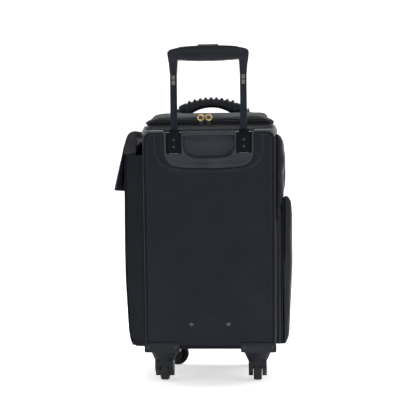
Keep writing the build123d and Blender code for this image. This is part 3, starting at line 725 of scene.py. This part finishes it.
def ledge_and_collar():
    """The leather that rolls over the shell's top edge, and the puffy collar under the zip."""
    x, y0, y1 = LEDGE_HI.x, LEDGE_LO.y, LEDGE_HI.y
    top = LEDGE_HI.z
    levels = [
        (top - 16.0, -1.6, -1.0, 18), (top - 12.0, -0.4, 0.0, 18), (top - 8.0, 1.8, 0.8, 18), (top - 4.6, 3.4, 1.2, 18),
        (top - 2.0, 4.0, 0.6, 18), (top - 0.5, 3.6, -1.2, 17), (top, 2.4, -3.6, 16), (top + 0.2, -2.0, -8.0, 14),
    ]
    points = []
    for z, out, end_out, r in levels:
        points += ring_of(z, x + out, y0 - end_out, y1 + end_out, r)
    inner = (LEDGE_HI.x - 15, COLLAR_LO.y + 4, COLLAR_HI.y - 3)
    out, end_out = levels[-1][1:3]
    for part in (0.33, 0.66, 1.0):
        points += ring_of(top + 0.2 - 0.5 * part, x + out + (inner[0] - x - out) * part,
                          y0 - end_out + (inner[1] - y0 + end_out) * part,
                          y1 + end_out + (inner[2] - y1 - end_out) * part, 14)
    rings = len(levels) + 3
    count = len(points) // rings
    points = ruffle(points, 0.6, 16.0, 3.0, mask=lambda p: 1.0 if abs(p.x) > 96 or p.y > 0 else 0.5)
    ledge = mesh_object("top_ledge_skin", points, stack_faces(rings, count))
    solidify(ledge, 1.4, offset=-1.0)
    cut_box(ledge, (-TRAY_HI.x - 0.6, y0 - 10, top - 20), (TRAY_HI.x + 0.6, -102.5, top + 10))
    finish_piece(ledge, HIGHLIT_LEATHER, "case_body", ["top_ledge"])

    cx, cy0, cy1 = COLLAR_HI.x, COLLAR_LO.y, COLLAR_HI.y
    z0, z1 = COLLAR_LO.z, COLLAR_HI.z
    profile = [
        (z0 - 2.5, 8.5, 2.6), (z0 - 0.5, 9.9, 3.4), (z0 + 2.0, 9.6, 3.7), (z0 + 4.6, 8.4, 3.5), (z0 + 7.2, 7.0, 3.0),
        (z0 + 9.4, 6.6, 2.0), (z1 + 1.2, 5.2, 0.9), (z1 + 1.9, 2.6, -0.2), (z1 + 0.6, -0.6, -1.6),
        (z0 + 4.0, -2.4, -2.4), (z0 - 2.0, -1.0, -1.6),
    ]
    points = []
    for z, out, back_out in profile:
        points += ring_of(z, cx + out, cy0 - back_out, cy1 + out * 0.3, 14, side_steps=60)
    count = len(points) // len(profile)

    def slack(p):
        corner = min(1.0, max(0.0, (abs(p.x) - 70) / 50))
        return (0.35 + 1.0 * corner) * (1.0 if p.z > z0 - 1 and p.z < z1 else 0.2)

    points = ruffle(points, 1.5, 9.0, 7.0, mask=slack)
    collar = mesh_object("collar_roll", points, stack_faces(len(profile), count, wrap=True))
    subdivide(collar)
    finish_piece(collar, HIGHLIT_LEATHER, "case_body", ["top_collar"])
    seam = [ring_of(z0 + 2.2, cx + 9.8, cy0 - 4.0, cy1 + 3.1, 14)]
    stitches("collar_stitches", [seam[0] + seam[0][:1]],
             lambda p: Vector((p.x, 0, 0)) if abs(p.x) > cx else Vector((0, p.y, 0)), "case_body")


def u_line(half, low, corner, bow, top, count=90):
    """A U seen from the back: (x, z) points from the upper right, round the bottom, to the upper left."""
    side_low = low + bow + corner
    path = [(half, top), (half, side_low)]
    path += [(half - corner + corner * math.cos(a), side_low - corner * math.sin(a))
             for a in np.linspace(0.1, math.pi / 2 - 0.1, 10)]
    path += [((half - corner) * t, low + bow * t ** 2) for t in np.linspace(0.9, 0.0, 10)]
    path += [(-x, z) for x, z in reversed(path[:-1])]
    legs = [math.dist(a, b) for a, b in zip(path, path[1:])]
    marks = np.concatenate([[0.0], np.cumsum(legs)])
    even = np.linspace(0.0, marks[-1], count)
    xs = np.interp(even, marks, [p[0] for p in path])
    zs = np.interp(even, marks, [p[1] for p in path])
    for _ in range(12):
        xs[1:-1] = (xs[:-2] + 2 * xs[1:-1] + xs[2:]) / 4
        zs[1:-1] = (zs[:-2] + 2 * zs[1:-1] + zs[2:]) / 4
    return list(zip(xs, zs))


def recess():
    """Dished tray, with the padded leather bezel round it."""
    tray = remeshed("recess_tray", "recess_dish", 1.1, rounds=7)
    finish_piece(tray, DISH_PAINTED_REFLECTION, "case_body", ["recess_tray"])

    inner = u_line(TRAY_HI.x + 0.6, TRAY_LO.z - 0.6, 28, 4, BEZEL_HI.z + 9)
    outer = u_line(BEZEL_HI.x, BEZEL_LO.z, 36, 7, BEZEL_HI.z + 9)
    face = BACK_LO.y
    rows = [(-0.04, -5.0), (-0.02, -1.0), (0.03, 1.0), (0.1, 1.9), (0.22, 2.3), (0.45, 2.4), (0.7, 2.1), (0.86, 1.4),
            (0.95, 0.5), (1.0, -0.4), (1.02, -1.5), (0.5, -2.0)]
    points = []
    for t, out in rows:
        for (xi, zi), (xo, zo) in zip(inner, outer):
            points.append(Vector((xi + (xo - xi) * t, face - out, zi + (zo - zi) * t)))
    count = len(inner)
    faces = []
    for i in range(len(rows)):
        j = (i + 1) % len(rows)
        for k in range(count - 1):
            faces.append((i * count + k, i * count + k + 1, j * count + k + 1, j * count + k))
    for end in (0, count - 1):
        faces.append(tuple(i * count + end for i in range(len(rows))))
    bezel = mesh_object("recess_bezel_skin", points, faces)
    subdivide(bezel)
    finish_piece(bezel, LEATHER, "case_body", ["recess_bezel"])
    line = [Vector((x, face - 1.9, z)) for x, z in u_line(BEZEL_HI.x - 4.2, BEZEL_LO.z + 4.0, 34, 7, BEZEL_HI.z + 6)]
    stitches("bezel_stitches", [line], (0, -1, 0), "case_body", rise=0.15)


# ---------------------------------------------------------------- lid, zip and carry handle
def lid():
    """Domed, padded lid with a welt round its edge and a seam round its top."""
    x, y0, y1 = LID_HI.x + 2.2, LID_LO.y - 3.0, LID_HI.y + 2.6
    z0 = LID_LO.z
    shape = [
        (-0.6, 0.0, 1.6, 13), (0.6, -1.6, 0.0, 14), (1.8, -1.8, -0.4, 14), (3.4, -0.4, 0.4, 15), (6.0, 3.6, 2.4, 17),
        (8.6, 7.4, 5.0, 18), (12.0, 9.4, 9.0, 20), (16.5, 11.2, 18.0, 22), (21.0, 13.0, 34.0, 24),
        (24.2, 15.6, 52.0, 25), (26.0, 19.0, 70.0, 22), (26.6, 24.0, 84.0, 15),
    ]
    points = []
    for rise, inset, end_in, r in shape:
        points += ring_of(z0 + rise, x - inset, y0 + end_in, y1 - end_in, min(r, (y1 - y0) / 2 - end_in - 1), 30)
    count = len(points) // len(shape)
    points = ruffle(points, 0.9, 22.0, 11.0, mask=lambda p: min(1.0, max(0.15, (p.z - z0) / 8)))
    dome = mesh_object("lid_dome", points, stack_faces(len(shape), count, cap_last=True))
    solidify(dome, 2.4)
    subdivide(dome)
    finish_piece(dome, LID_LEATHER_PAINTED_SHADE, "top_lid", ["lid_panel"])

    welt = ring_of(z0 + 0.4, x + 2.0, y0 - 0.4, y1 - 0.2, 14)
    finish_piece(sweep("lid_welt", welt, oval(1.5, 1.5, 10), closed=True), PIPING, "top_lid")
    seam = ring_of(z0 + 5.0, x - 1.9, y0 + 1.5, y1 - 1.5, 16)
    stitches("lid_stitches", [seam + seam[:1]],
             lambda p: Vector((p.x / 60, (p.y - 12) / 60, 1.4)), "top_lid", rise=0.5)


def tooth_row(name, ring, lift, body):
    """One side of a coil zip: small rounded teeth across the tape's edge."""
    points = []
    faces = []
    row = resample(ring, 1.9)
    shape = [(-0.7, -1.0), (0.7, -1.0), (0.8, 0.2), (0.0, 1.0), (-0.8, 0.2)]
    for a, b in zip(row, row[1:]):
        t = (b - a).normalized()
        out = Vector((t.y, -t.x, 0))
        centre = (a + b) / 2
        base = len(points)
        for depth, size in ((0.0, 1.0), (0.9, 0.9), (1.3, 0.45)):
            for along, rise in shape:
                points.append(centre + t * (along * 0.62 * size) + Vector((0, 0, rise * lift * size))
                              + out * depth)
        for i in range(2):
            for k in range(5):
                n = (k + 1) % 5
                faces.append((base + 5 * i + k, base + 5 * i + n, base + 5 * i + 5 + n, base + 5 * i + 5 + k))
        faces.append(tuple(base + k for k in range(5)))
        faces.append(tuple(base + 10 + k for k in range(5)))
    return finish_piece(mesh_object(name, points, faces), TEETH, body)


def zip_line():
    """Coil teeth on both tapes: along the back and both sides, open at the hinge."""
    for node, edge, lift, body in (("body_zip_tape", "high", 0.8, "case_body"),
                                   ("lid_zip_tape", "low", -0.8, "top_lid")):
        lo, hi = span(node)
        z = hi.z - 0.6 if edge == "high" else lo.z + 0.6
        ring = [Vector((a, b, z)) for a, b in arc_loop(lo.x, hi.x, lo.y, hi.y + 18, 13.2)]
        run = [p for p in ring if p.y < hi.y - 1]
        start = max(range(len(run)), key=lambda i: (run[i] - run[i - 1]).length)
        tooth_row(node + "_teeth", run[start:] + run[:start], lift, body)


def pulls():
    for _, side in SIDES:
        bevelled("zip_slider_" + side, SCREW, width=0.7)
        node = "zip_pull_" + side
        lo, hi = span(node)
        c = (lo + hi) / 2
        rx, rz = (hi.x - lo.x) / 2 - 1.5, (hi.z - lo.z) / 2 - 1.5
        path = [Vector((c.x + rx * math.cos(a), c.y - 0.15, c.z + rz * math.sin(a)))
                for a in np.linspace(0, 2 * math.pi, 48, endpoint=False)]
        ring = sweep(node + "_ring", path, oval(1.7, 0.85, 12, 2.4), up=(0, 1, 0), closed=True)
        finish_piece(ring, GOLD, node, [node])


def carry_handle():
    """Moulded grip with cross ribs on top, on a core whose end eyes turn on the mounts."""
    lo, hi = span("handle_grip")
    mid_y = (lo.y + hi.y) / 2
    reach, steps, pitch = 69.5, 260, 11.4
    top_r, under_r = 150.0, 80.0
    top_z, under_z = hi.z + 1.0, hi.z - 17.6
    floor_z = joint("carry_handle_tilt")["pos_m"][2] / MM - 7.5
    points = []
    section = oval(1.0, 1.0, 32, 2.7)
    for i in range(steps + 1):
        x = -reach + 2 * reach * i / steps
        end = min(1.0, (reach - abs(x)) / 5.0)
        round_end = math.sqrt(max(0.0, 1 - (1 - end) ** 2))
        cuff = min(1.0, max(0.0, (abs(x) - 51.0) / 2.5))
        high = top_z - top_r + math.sqrt(top_r ** 2 - x ** 2) + 1.6 * cuff
        low = under_z - under_r + math.sqrt(under_r ** 2 - x ** 2)
        low = max(low, floor_z) + 1.5 * math.exp(-abs(low - floor_z) / 3)
        middle_z, half = (high + low) / 2, (high - low) / 2
        slope = -x / math.sqrt(top_r ** 2 - x ** 2) * 0.8
        wave = 0.5 + 0.5 * math.cos(2 * math.pi * x / pitch)
        rib = 4.3 * (1 - (1 - wave) ** 1.8) ** 2.2 * min(1.0, max(0.0, (50.0 - abs(x)) / 2))
        wide = (9.6 + 1.2 * cuff) * (0.72 + 0.28 * round_end)
        for a, b in section:
            up = min(1.0, max(0.0, b + 0.35) / 0.9)
            height = b * half * (0.6 + 0.4 * round_end) + rib * up ** 1.3
            points.append(Vector((x + slope * height * -0.55, mid_y + a * (wide + 0.28 * rib * up), middle_z + height)))
    count = len(section)
    grip = mesh_object("carry_grip", points, stack_faces(steps + 1, count, cap_first=True, cap_last=True))
    finish_piece(grip, PLASTIC, "carry_handle", ["handle_grip"])
    bevelled("handle_core", PLASTIC, width=0.8)
    bevelled("handle_mounts", SCREW, width=0.7)


def lid_height(x, y):
    """Height of the lid's dome, near its top."""
    y0, y1 = LID_LO.y - 3.0, LID_HI.y + 2.6
    fall = max(0.0, max((y0 + 88 - y), (y - y1 + 88))) / 88
    return LID_LO.z + 26.6 - 18.0 * fall ** 2.1


def handle_patches():
    """Stitched leather patches under the carry handle's mounts."""
    lo, hi = span("handle_mounts")
    for sign, side in SIDES:
        cx = sign * (hi.x - 16)
        rows = np.linspace(-46, 26, 19)
        cols = np.linspace(-15, 15, 11)
        points = []
        for v in rows:
            for u in cols:
                narrow = 1.0 - 0.25 * max(0.0, (-v - 20) / 26)
                y = v
                z = lid_height(cx, y) + 0.9
                edge = min(15 - abs(u), v + 46, 26 - v)
                points.append(Vector((cx + u * narrow, y, z - (1.4 if edge < 0.5 else 0.0))))
        w = len(cols)
        faces = [(i * w + k, i * w + k + 1, (i + 1) * w + k + 1, (i + 1) * w + k)
                 for i in range(len(rows) - 1) for k in range(w - 1)]
        patch = solidify(mesh_object(side + "_handle_patch", points, faces), 1.6)
        subdivide(patch)
        finish_piece(patch, LEATHER, "top_lid")
        border = [(-12, -43), (12, -43), (12, 23), (-12, 23), (-12, -43)]
        path = resample([Vector((cx + u, v, 0)) for u, v in border], 4.0)
        path = [Vector((p.x, p.y, lid_height(p.x, p.y) + 1.3)) for p in path]
        stitches(side + "_patch_stitches", [path], (0, -0.2, 1), "top_lid")


# ---------------------------------------------------------------- trolley
def trolley():
    grip = remeshed("trolley_grip", "trolley_grip_shell", 1.0, rounds=9)
    lo, hi = span("trolley_grip")
    bar_z, bar_half = hi.z - 16.0, 16.0
    axis_y = (lo.y + hi.y) / 2
    for vert in grip.data.vertices:
        p = vert.co / MM - ORIGIN
        rise = max(-1.0, (p.z - bar_z) / bar_half)
        depth = 1.12 - 0.36 * rise ** 2 if rise > -1.0 else 0.76
        vert.co.y += (p.y - axis_y) * (depth - 1.0) * MM
    finish_piece(grip, PLASTIC, "trolley_upper", ["trolley_grip"])
    tubes = cad_copy("inner_tubes", "inner_tube_shells")
    lo, hi = span("inner_tubes")
    axis_x = hi.x - 6.3
    for vert in tubes.data.vertices:
        x = vert.co.x / MM - ORIGIN.x
        vert.co.x += (abs(x) - axis_x) * 0.1 * math.copysign(MM, x)
    modify(tubes, "BEVEL", width=0.8 * MM, segments=3, limit_method="ANGLE", angle_limit=math.radians(30))
    apply_modifiers(tubes)
    finish_piece(tubes, TUBE, "trolley_upper", ["inner_tubes"])
    bevelled("release_button", PLASTIC, width=1.0)
    bevelled("mid_bushes", BLACK, width=0.5)
    bevelled("tube_sockets", BLACK, width=1.2)
    for node, material in (("socket_screws", BRIGHT), ("foot_screws", BRIGHT), ("caster_screws", SCREW)):
        bevelled(node, material, width=0.3, segments=2)


# ---------------------------------------------------------------- pockets
def left_pocket():
    """Flat bag with gussets, rounded foot and a bound mouth, open at the top under its flap."""
    lo, hi = span("left_pocket")
    wall_x = hi.x
    out_x = -lo.x
    levels = [(lo.z - 0.4, 153.0), (lo.z + 0.3, 157.8), (lo.z + 3, 160.8), (78, 164.6), (87, 167.3), (103, 169.8),
              (120, 171.0), (153, 172.6), (186, 174.5), (219, 175.8), (268, out_x + 1.6), (330, out_x + 1.7),
              (390, out_x + 1.6), (440, out_x + 1.4), (462, out_x + 1.0), (hi.z - 40.6, out_x + 0.6)]
    mouth = levels[-1][0]
    points = []
    for z, out in levels:
        squeeze = 1.0 - 0.5 * max(0.0, (90 - z) / 16) ** 2
        ring = arc_loop(-out, wall_x, lo.y, hi.y, 7.0, corner_steps=6, side_steps=26)
        for a, b in ring:
            p = Vector((a, b, z))
            depth = (a - wall_x) / (-out - wall_x)
            belly = 1.5 * (1 - (b / hi.y) ** 4) * depth
            fold = 2.2 * math.sin(math.pi * min(1.0, max(0.0, depth))) if abs(b) > hi.y - 1.5 else 0.0
            p.x -= belly * squeeze
            p.y -= math.copysign(fold, b)
            points.append(p)
    inner_out = [(mouth - 1.5, out_x - 2), (440, out_x - 2.2), (300, out_x - 2.2), (120, 166.5), (84, 158)]
    for z, out in inner_out:
        for a, b in arc_loop(-out, wall_x - 2.4, lo.y + 2.4, hi.y - 2.4, 5.0, corner_steps=6, side_steps=26):
            points.append(Vector((a, b, z)))
    rings = len(levels) + len(inner_out)
    count = len(points) // rings
    points = ruffle(points, 1.1, 34.0, 21.0, mask=lambda p: 1.0 if p.x < wall_x - 3 else 0.0)
    bag = mesh_object("left_pocket_bag", points, stack_faces(rings, count, cap_first=True, cap_last=True))
    subdivide(bag)
    finish_piece(bag, LEATHER, "case_body", ["left_pocket"])
    for end, name in ((lo.y, "near"), (hi.y, "far")):
        path = [Vector((-out + 0.4, end + math.copysign(1.4, -end), z)) for z, out in levels[2:]]
        finish_piece(sweep("left_pocket_welt_" + name, resample(path, 6), oval(1.5, 1.5, 10), up=(0, 1, 0)),
                     PIPING, "case_body")
    rows = [[Vector((-out_x - 1.6, y, mouth - 7)) for y in np.linspace(lo.y + 9, hi.y - 9, 24)]]
    stitches("left_pocket_stitches", rows, (-1, 0, 0), "case_body", rise=1.2)


def flap():
    """Pocket flap: domed top, boxed ends and a leaf that flares at its near corner, on a soft leather hinge."""
    skin = remeshed("pocket_flap", "pocket_flap_skin", 1.3, rounds=7)
    lo, hi = span("pocket_flap")
    start = 483.0
    for vert in skin.data.vertices:
        p = vert.co / MM - ORIGIN
        drop = max(0.0, (start - p.z) / (start - lo.z))
        along = p.y / hi.y
        shift = 4.6 * min(1.0, max(0.0, (along + 0.86) / 0.45)) - 3.4 * max(0.0, -along - 0.4) ** 1.5 / 0.46
        lift = 0.7 * noise.noise(Vector((p.x / 40, p.y / 45, p.z / 40 + 9)))
        if abs(p.y) > hi.y - 3:
            belly = math.exp(-((p.x + 166) / 13) ** 2 - ((p.z - 492) / 17) ** 2)
            vert.co.y += math.copysign(3.4 * belly * MM, p.y)
        vert.co.x += (shift * drop ** 1.2 + lift) * MM
    finish_piece(skin, PADDED, "pocket_flap", ["pocket_flap"])

    rows, cols = 24, 10
    points = []
    for i in range(rows + 1):
        y = lo.y + 5 + (hi.y - lo.y - 10) * i / rows
        for k in range(cols + 1):
            t = k / cols
            points.append(Vector((-133.0 - 13.0 * t, y, 508.5 + 6.6 * math.sin(t * 1.35))))
    w = cols + 1
    faces = [(i * w + k, i * w + k + 1, (i + 1) * w + k + 1, (i + 1) * w + k) for i in range(rows) for k in range(cols)]
    strip = solidify(mesh_object("flap_hinge_leather", points, faces), 1.4, offset=0)
    finish_blend(strip, PADDED, "case_body", "pocket_flap", (-136.5, 0, 510), (-145.0, 0, 514))


def right_side():
    lo, hi = span("right_shoulder")
    shoulder = remeshed("right_shoulder", "right_shoulder_pad", 4.5, rounds=4)
    for vert in shoulder.data.vertices:
        high = min(1.0, max(0.0, (vert.co.z / MM - 474) / 24))
        vert.co.x += 2.6 * high * high * (3 - 2 * high) * MM if vert.co.x / MM - ORIGIN.x > SIDE_HI.x + 3 else 0.0
        bulge = max(0.0, 1.0 - ((vert.co.z / MM - 368) / 55) ** 2)
        vert.co.x += 5.0 * bulge * MM if vert.co.x / MM - ORIGIN.x > SIDE_HI.x + 3 else 0.0
    inflate(shoulder, 3.0, 4.0)
    subdivide(shoulder)
    finish_piece(shoulder, SHOULDER, "case_body", ["right_shoulder"])
    panel = remeshed("right_pocket_panel", "right_pocket_pad", 4.0, rounds=4)
    inflate(panel, 4.0, 2.0)
    subdivide(panel)
    finish_piece(panel, PADDED, "case_body", ["right_pocket_panel"])

    g_lo, g_hi = span("right_pocket_gussets")
    wall = g_lo.x
    top_z = g_hi.z
    for sign, name in ((-1, "near"), (1, "far")):
        points = []
        cols = 9
        rows = 40
        for i in range(rows + 1):
            t = i / rows
            for k in range(cols + 1):
                u = k / cols
                reach = g_hi.x + 0.6 - wall
                z_top = 318 + (top_z - 318) * u
                z = g_lo.z + (z_top - g_lo.z) * t
                spread = reach * (0.78 + 0.22 * t)
                fold = 5.5 * math.sin(math.pi * u) * (0.35 + 0.65 * t) + 1.3 * math.sin(3 * math.pi * u)
                points.append(Vector((wall + spread * u, sign * (g_hi.y - fold), z)))
        w = cols + 1
        faces = [(i * w + k, i * w + k + 1, (i + 1) * w + k + 1, (i + 1) * w + k)
                 for i in range(rows) for k in range(cols)]
        points = ruffle(points, 0.9, 26.0, 31.0)
        gusset = solidify(mesh_object("right_gusset_" + name, points, faces), 1.6, offset=0)
        subdivide(gusset)
        finish_piece(gusset, PADDED, "case_body", ["right_pocket_gussets"] if sign < 0 else ())
    foot = [Vector((x, y, z)) for y in (g_lo.y + 2, g_hi.y - 2) for x, z in
            ((wall, 74.0), (150.0, 74.0), (150.0, 77.0), (wall, 77.0))]
    obj = mesh_object("right_pocket_foot", foot, [(0, 1, 2, 3), (4, 7, 6, 5), (0, 4, 5, 1), (1, 5, 6, 2),
                                                  (2, 6, 7, 3), (3, 7, 4, 0)])
    modify(obj, "BEVEL", width=1.2 * MM, segments=3)
    apply_modifiers(obj)
    finish_piece(obj, PADDED, "case_body")


def side_handle():
    """Folded and stitched grab strap on the right side."""
    lo, hi = span("side_handle")
    line = [(155.4, 462), (156.4, 456), (157.1, 445), (157.2, 432), (157.0, 420), (156.4, 408), (155.0, 397),
            (152.8, 389)]
    path = resample([Vector((x, 0, z)) for x, z in line], 3.0)
    strap = sweep("side_strap", path, oval(hi.y - 0.5, 1.7, 20, 4.0), up=(1, 0, 0))
    finish_piece(strap, HIGHLIT_LEATHER, "case_body", ["side_handle"])
    rows = [[p + Vector((1.6, y, 0)) for p in path] for y in (-9.5, 9.5)]
    stitches("side_strap_stitches", rows, (1, 0, 0.1), "case_body", rise=0.2)
    bevelled("side_handle_anchors", HIGHLIT_LEATHER, width=0.8)


def front_pad():
    pad = remeshed("front_pad", "front_pad_cushion", 5.0, rounds=3)
    inflate(pad, 3.0, 5.0)
    subdivide(pad)
    finish_piece(pad, PADDED, "case_body", ["front_pad"])


# ---------------------------------------------------------------- casters
def casters():
    bevelled("caster_housings", PLASTIC, width=1.0)
    for name in CORNERS:
        fork = bevelled("fork_" + name, PLASTIC, width=1.1)
        pivot = Vector(joint("swivel_" + name)["pos_m"])
        for vert in fork.data.vertices:
            part = min(1.0, max(0.0, (vert.co.z / MM - 42) / 14))
            away = (vert.co - pivot).to_2d() * 0.11 * part
            vert.co.x += away.x
            vert.co.y += away.y
        spin = joint("spin_" + name)
        centre = Vector(spin["pos_m"]) / MM - ORIGIN
        lo, hi = span("tyre_" + name)
        r = (hi.z - lo.z) / 2
        half = min(hi.x - lo.x, hi.y - lo.y) / 2
        tread = [(r - 5.0, -half + 0.8), (r - 4.6, -half + 0.1), (r - 2.6, -half), (r - 1.0, -half + 0.9),
                 (r - 0.2, -half + 2.6), (r, -half + 4.4), (r, -1.4), (r - 0.5, -0.8), (r - 0.5, 0.8), (r, 1.4),
                 (r, half - 4.4), (r - 0.2, half - 2.6), (r - 1.0, half - 0.9), (r - 2.6, half),
                 (r - 4.6, half - 0.1), (r - 5.0, half - 0.8)]
        tyre = lathe("tyre_" + name + "_tread", tread, centre, spin["axis"], 72)
        finish_piece(tyre, TYRE, "wheel_" + name, ["tyre_" + name])
        rim = [(3.1, -half + 1.0), (6.5, -half + 0.6), (7.2, -half + 1.4), (8.0, -half + 3.6), (15.0, -half + 3.8),
               (16.2, -half + 1.6), (17.0, -half + 0.9), (r - 5.1, -half + 0.9), (r - 5.1, half - 0.9),
               (17.0, half - 0.9), (16.2, half - 1.6), (15.0, half - 3.8), (8.0, half - 3.6), (7.2, half - 1.4),
               (6.5, half - 0.6), (3.1, half - 1.0)]
        wheel = lathe("wheel_" + name + "_rim", rim, centre, spin["axis"], 72)
        finish_piece(wheel, RIM, "wheel_" + name, ["wheel_" + name])


# ---------------------------------------------------------------- inside
def lining():
    """Woven lining of the main compartment."""
    lo, hi = span("well_divider")
    x = SIDE_LO.x - 2.4
    y0, y1 = hi.y + 0.9, FRONT_LO.y - 1.6
    levels = [74.0, 74.2, 78.0, 110.0, 200.0, 300.0, 400.0, 470.0, 500.0, 511.5]
    points = []
    for i, z in enumerate(levels):
        inset = 12.0 if i == 0 else 4.0 if i == 1 else 0.0
        points += ring_of(z, x - inset, y0 + inset, y1 - inset, 10)
    count = len(points) // len(levels)
    points = ruffle(points, 0.9, 40.0, 41.0)
    cloth = solidify(mesh_object("compartment_lining", points, stack_faces(len(levels), count, cap_first=True)), 0.8)
    finish_piece(cloth, LINING, "case_body")


# ---------------------------------------------------------------- CAD nodes that stay
KEPT = {
    "base_panel": BOARD, "well_divider": BOARD, "lid_hinge_strip": LEATHER, "outer_tubes": ALUMINIUM,
    "foot_bracket": STEEL, "mid_tubes": TUBE, "lock_blocks": PLASTIC, "tube_lugs": LUG,
    "push_rods": STEEL, "button_springs": STEEL, "handle_pins": STEEL, "body_zip_tape": TAPE, "lid_zip_tape": TAPE,
}


def dress_kept_nodes():
    for node, material in KEPT.items():
        mesh = frame["nodes"][node].data
        mesh.materials.clear()
        mesh.materials.append(material)


# ---------------------------------------------------------------- stage, light and camera
def stage():
    """Pale floor that curves up into a pale wall."""
    white = bpy.data.materials.new("studio_paper")
    white.use_nodes = True
    shader = white.node_tree.nodes["Principled BSDF"]
    shader.inputs["Base Color"].default_value = rgb(0.93, 0.93, 0.935)
    shader.inputs["Roughness"].default_value = 0.9
    shader.inputs["Specular IOR Level"].default_value = 0.1
    shader.inputs["Emission Color"].default_value = rgb(1.0, 1.0, 1.0)
    glow = white.node_tree.nodes.new("ShaderNodeMapRange")
    glow.inputs["To Min"].default_value = 0.08
    glow.inputs["To Max"].default_value = 0.5
    seen = white.node_tree.nodes.new("ShaderNodeLightPath")
    white.node_tree.links.new(seen.outputs["Is Camera Ray"], glow.inputs["Value"])
    white.node_tree.links.new(glow.outputs["Result"], shader.inputs["Emission Strength"])
    depth = [(-6.0, 0.0), (2.2, 0.0)]
    depth += [(2.2 + 1.2 * math.sin(a), 1.2 - 1.2 * math.cos(a)) for a in np.linspace(0.1, math.pi / 2, 12)]
    depth += [(3.4, 5.0)]
    points = [Vector((x, y, z)) for y, z in depth for x in (-7.0, 7.0)]
    faces = [(2 * i, 2 * i + 1, 2 * i + 3, 2 * i + 2) for i in range(len(depth) - 1)]
    mesh = bpy.data.meshes.new("studio_sweep")
    mesh.from_pydata(points, [], faces)
    mesh.shade_smooth()
    sweep_obj = bpy.data.objects.new("studio_sweep", mesh)
    mesh.materials.append(white)
    bpy.context.collection.objects.link(sweep_obj)


def area_light(name, place, target, size, power, colour=(1, 1, 1)):
    data = bpy.data.lights.new(name, "AREA")
    data.shape = "RECTANGLE"
    data.size, data.size_y = size
    data.energy = power
    data.color = colour
    light = bpy.data.objects.new(name, data)
    light.location = place
    light.rotation_euler = (Vector(target) - Vector(place)).to_track_quat("-Z", "Y").to_euler()
    bpy.context.collection.objects.link(light)


def lights():
    world = bpy.data.worlds.new("studio")
    bpy.context.scene.world = world
    world.use_nodes = True
    tree = world.node_tree
    background = tree.nodes["Background"]
    rays = tree.nodes.new("ShaderNodeLightPath")
    level = tree.nodes.new("ShaderNodeMapRange")
    level.inputs["To Min"].default_value = 0.2
    level.inputs["To Max"].default_value = 1.0
    tree.links.new(rays.outputs["Is Camera Ray"], level.inputs["Value"])
    tree.links.new(level.outputs["Result"], background.inputs["Strength"])
    background.inputs["Color"].default_value = rgb(1.0, 1.0, 1.0)
    area_light("key_top", (0.0, 1.0, 2.5), (0, 0, 0.2), (3.2, 1.8), 60)
    area_light("left_rim", (-2.3, 0.7, 1.0), (0, 0, 0.35), (1.0, 2.2), 30)
    area_light("right_rim", (2.3, 0.7, 1.0), (0, 0, 0.35), (1.0, 2.2), 36)
    area_light("front_fill", (0.4, -3.2, 2.0), (0, 0, 0.3), (2.0, 1.4), 12)
    area_light("left_soft", (-2.2, -1.1, 1.3), (0, 0, 0.4), (0.9, 1.6), 11)
    area_light("right_soft", (2.2, -1.1, 1.3), (0, 0, 0.4), (0.9, 1.6), 15)
    bpy.context.scene.view_settings.view_transform = "Standard"


def camera():
    """Long lens at the photograph's angle: nearly level, a few degrees to the right of the back."""
    data = bpy.data.cameras.new("camera")
    data.sensor_width = 36.0
    data.lens = 76.4
    cam = bpy.data.objects.new("camera", data)
    turn = math.radians(3.05)
    distance = 1.917
    look = (ORIGIN + Vector((-9.0, 0, 347))) * MM
    cam.location = look + Vector((math.sin(turn), -math.cos(turn), 0)) * distance
    forward = (look - cam.location).normalized()
    level = forward.to_track_quat("-Z", "Y")
    cam.rotation_euler = (level @ Quaternion((0, 0, 1), math.radians(-0.5))).to_euler()
    data.shift_y = 4.0 / 416
    data.clip_end = 50.0
    bpy.context.collection.objects.link(cam)
    bpy.context.scene.camera = cam


shell_boards()
piping()
ledge_and_collar()
recess()
lid()
zip_line()
pulls()
carry_handle()
handle_patches()
trolley()
left_pocket()
flap()
right_side()
side_handle()
front_pad()
casters()
lining()
dress_kept_nodes()
stage()
lights()
camera()
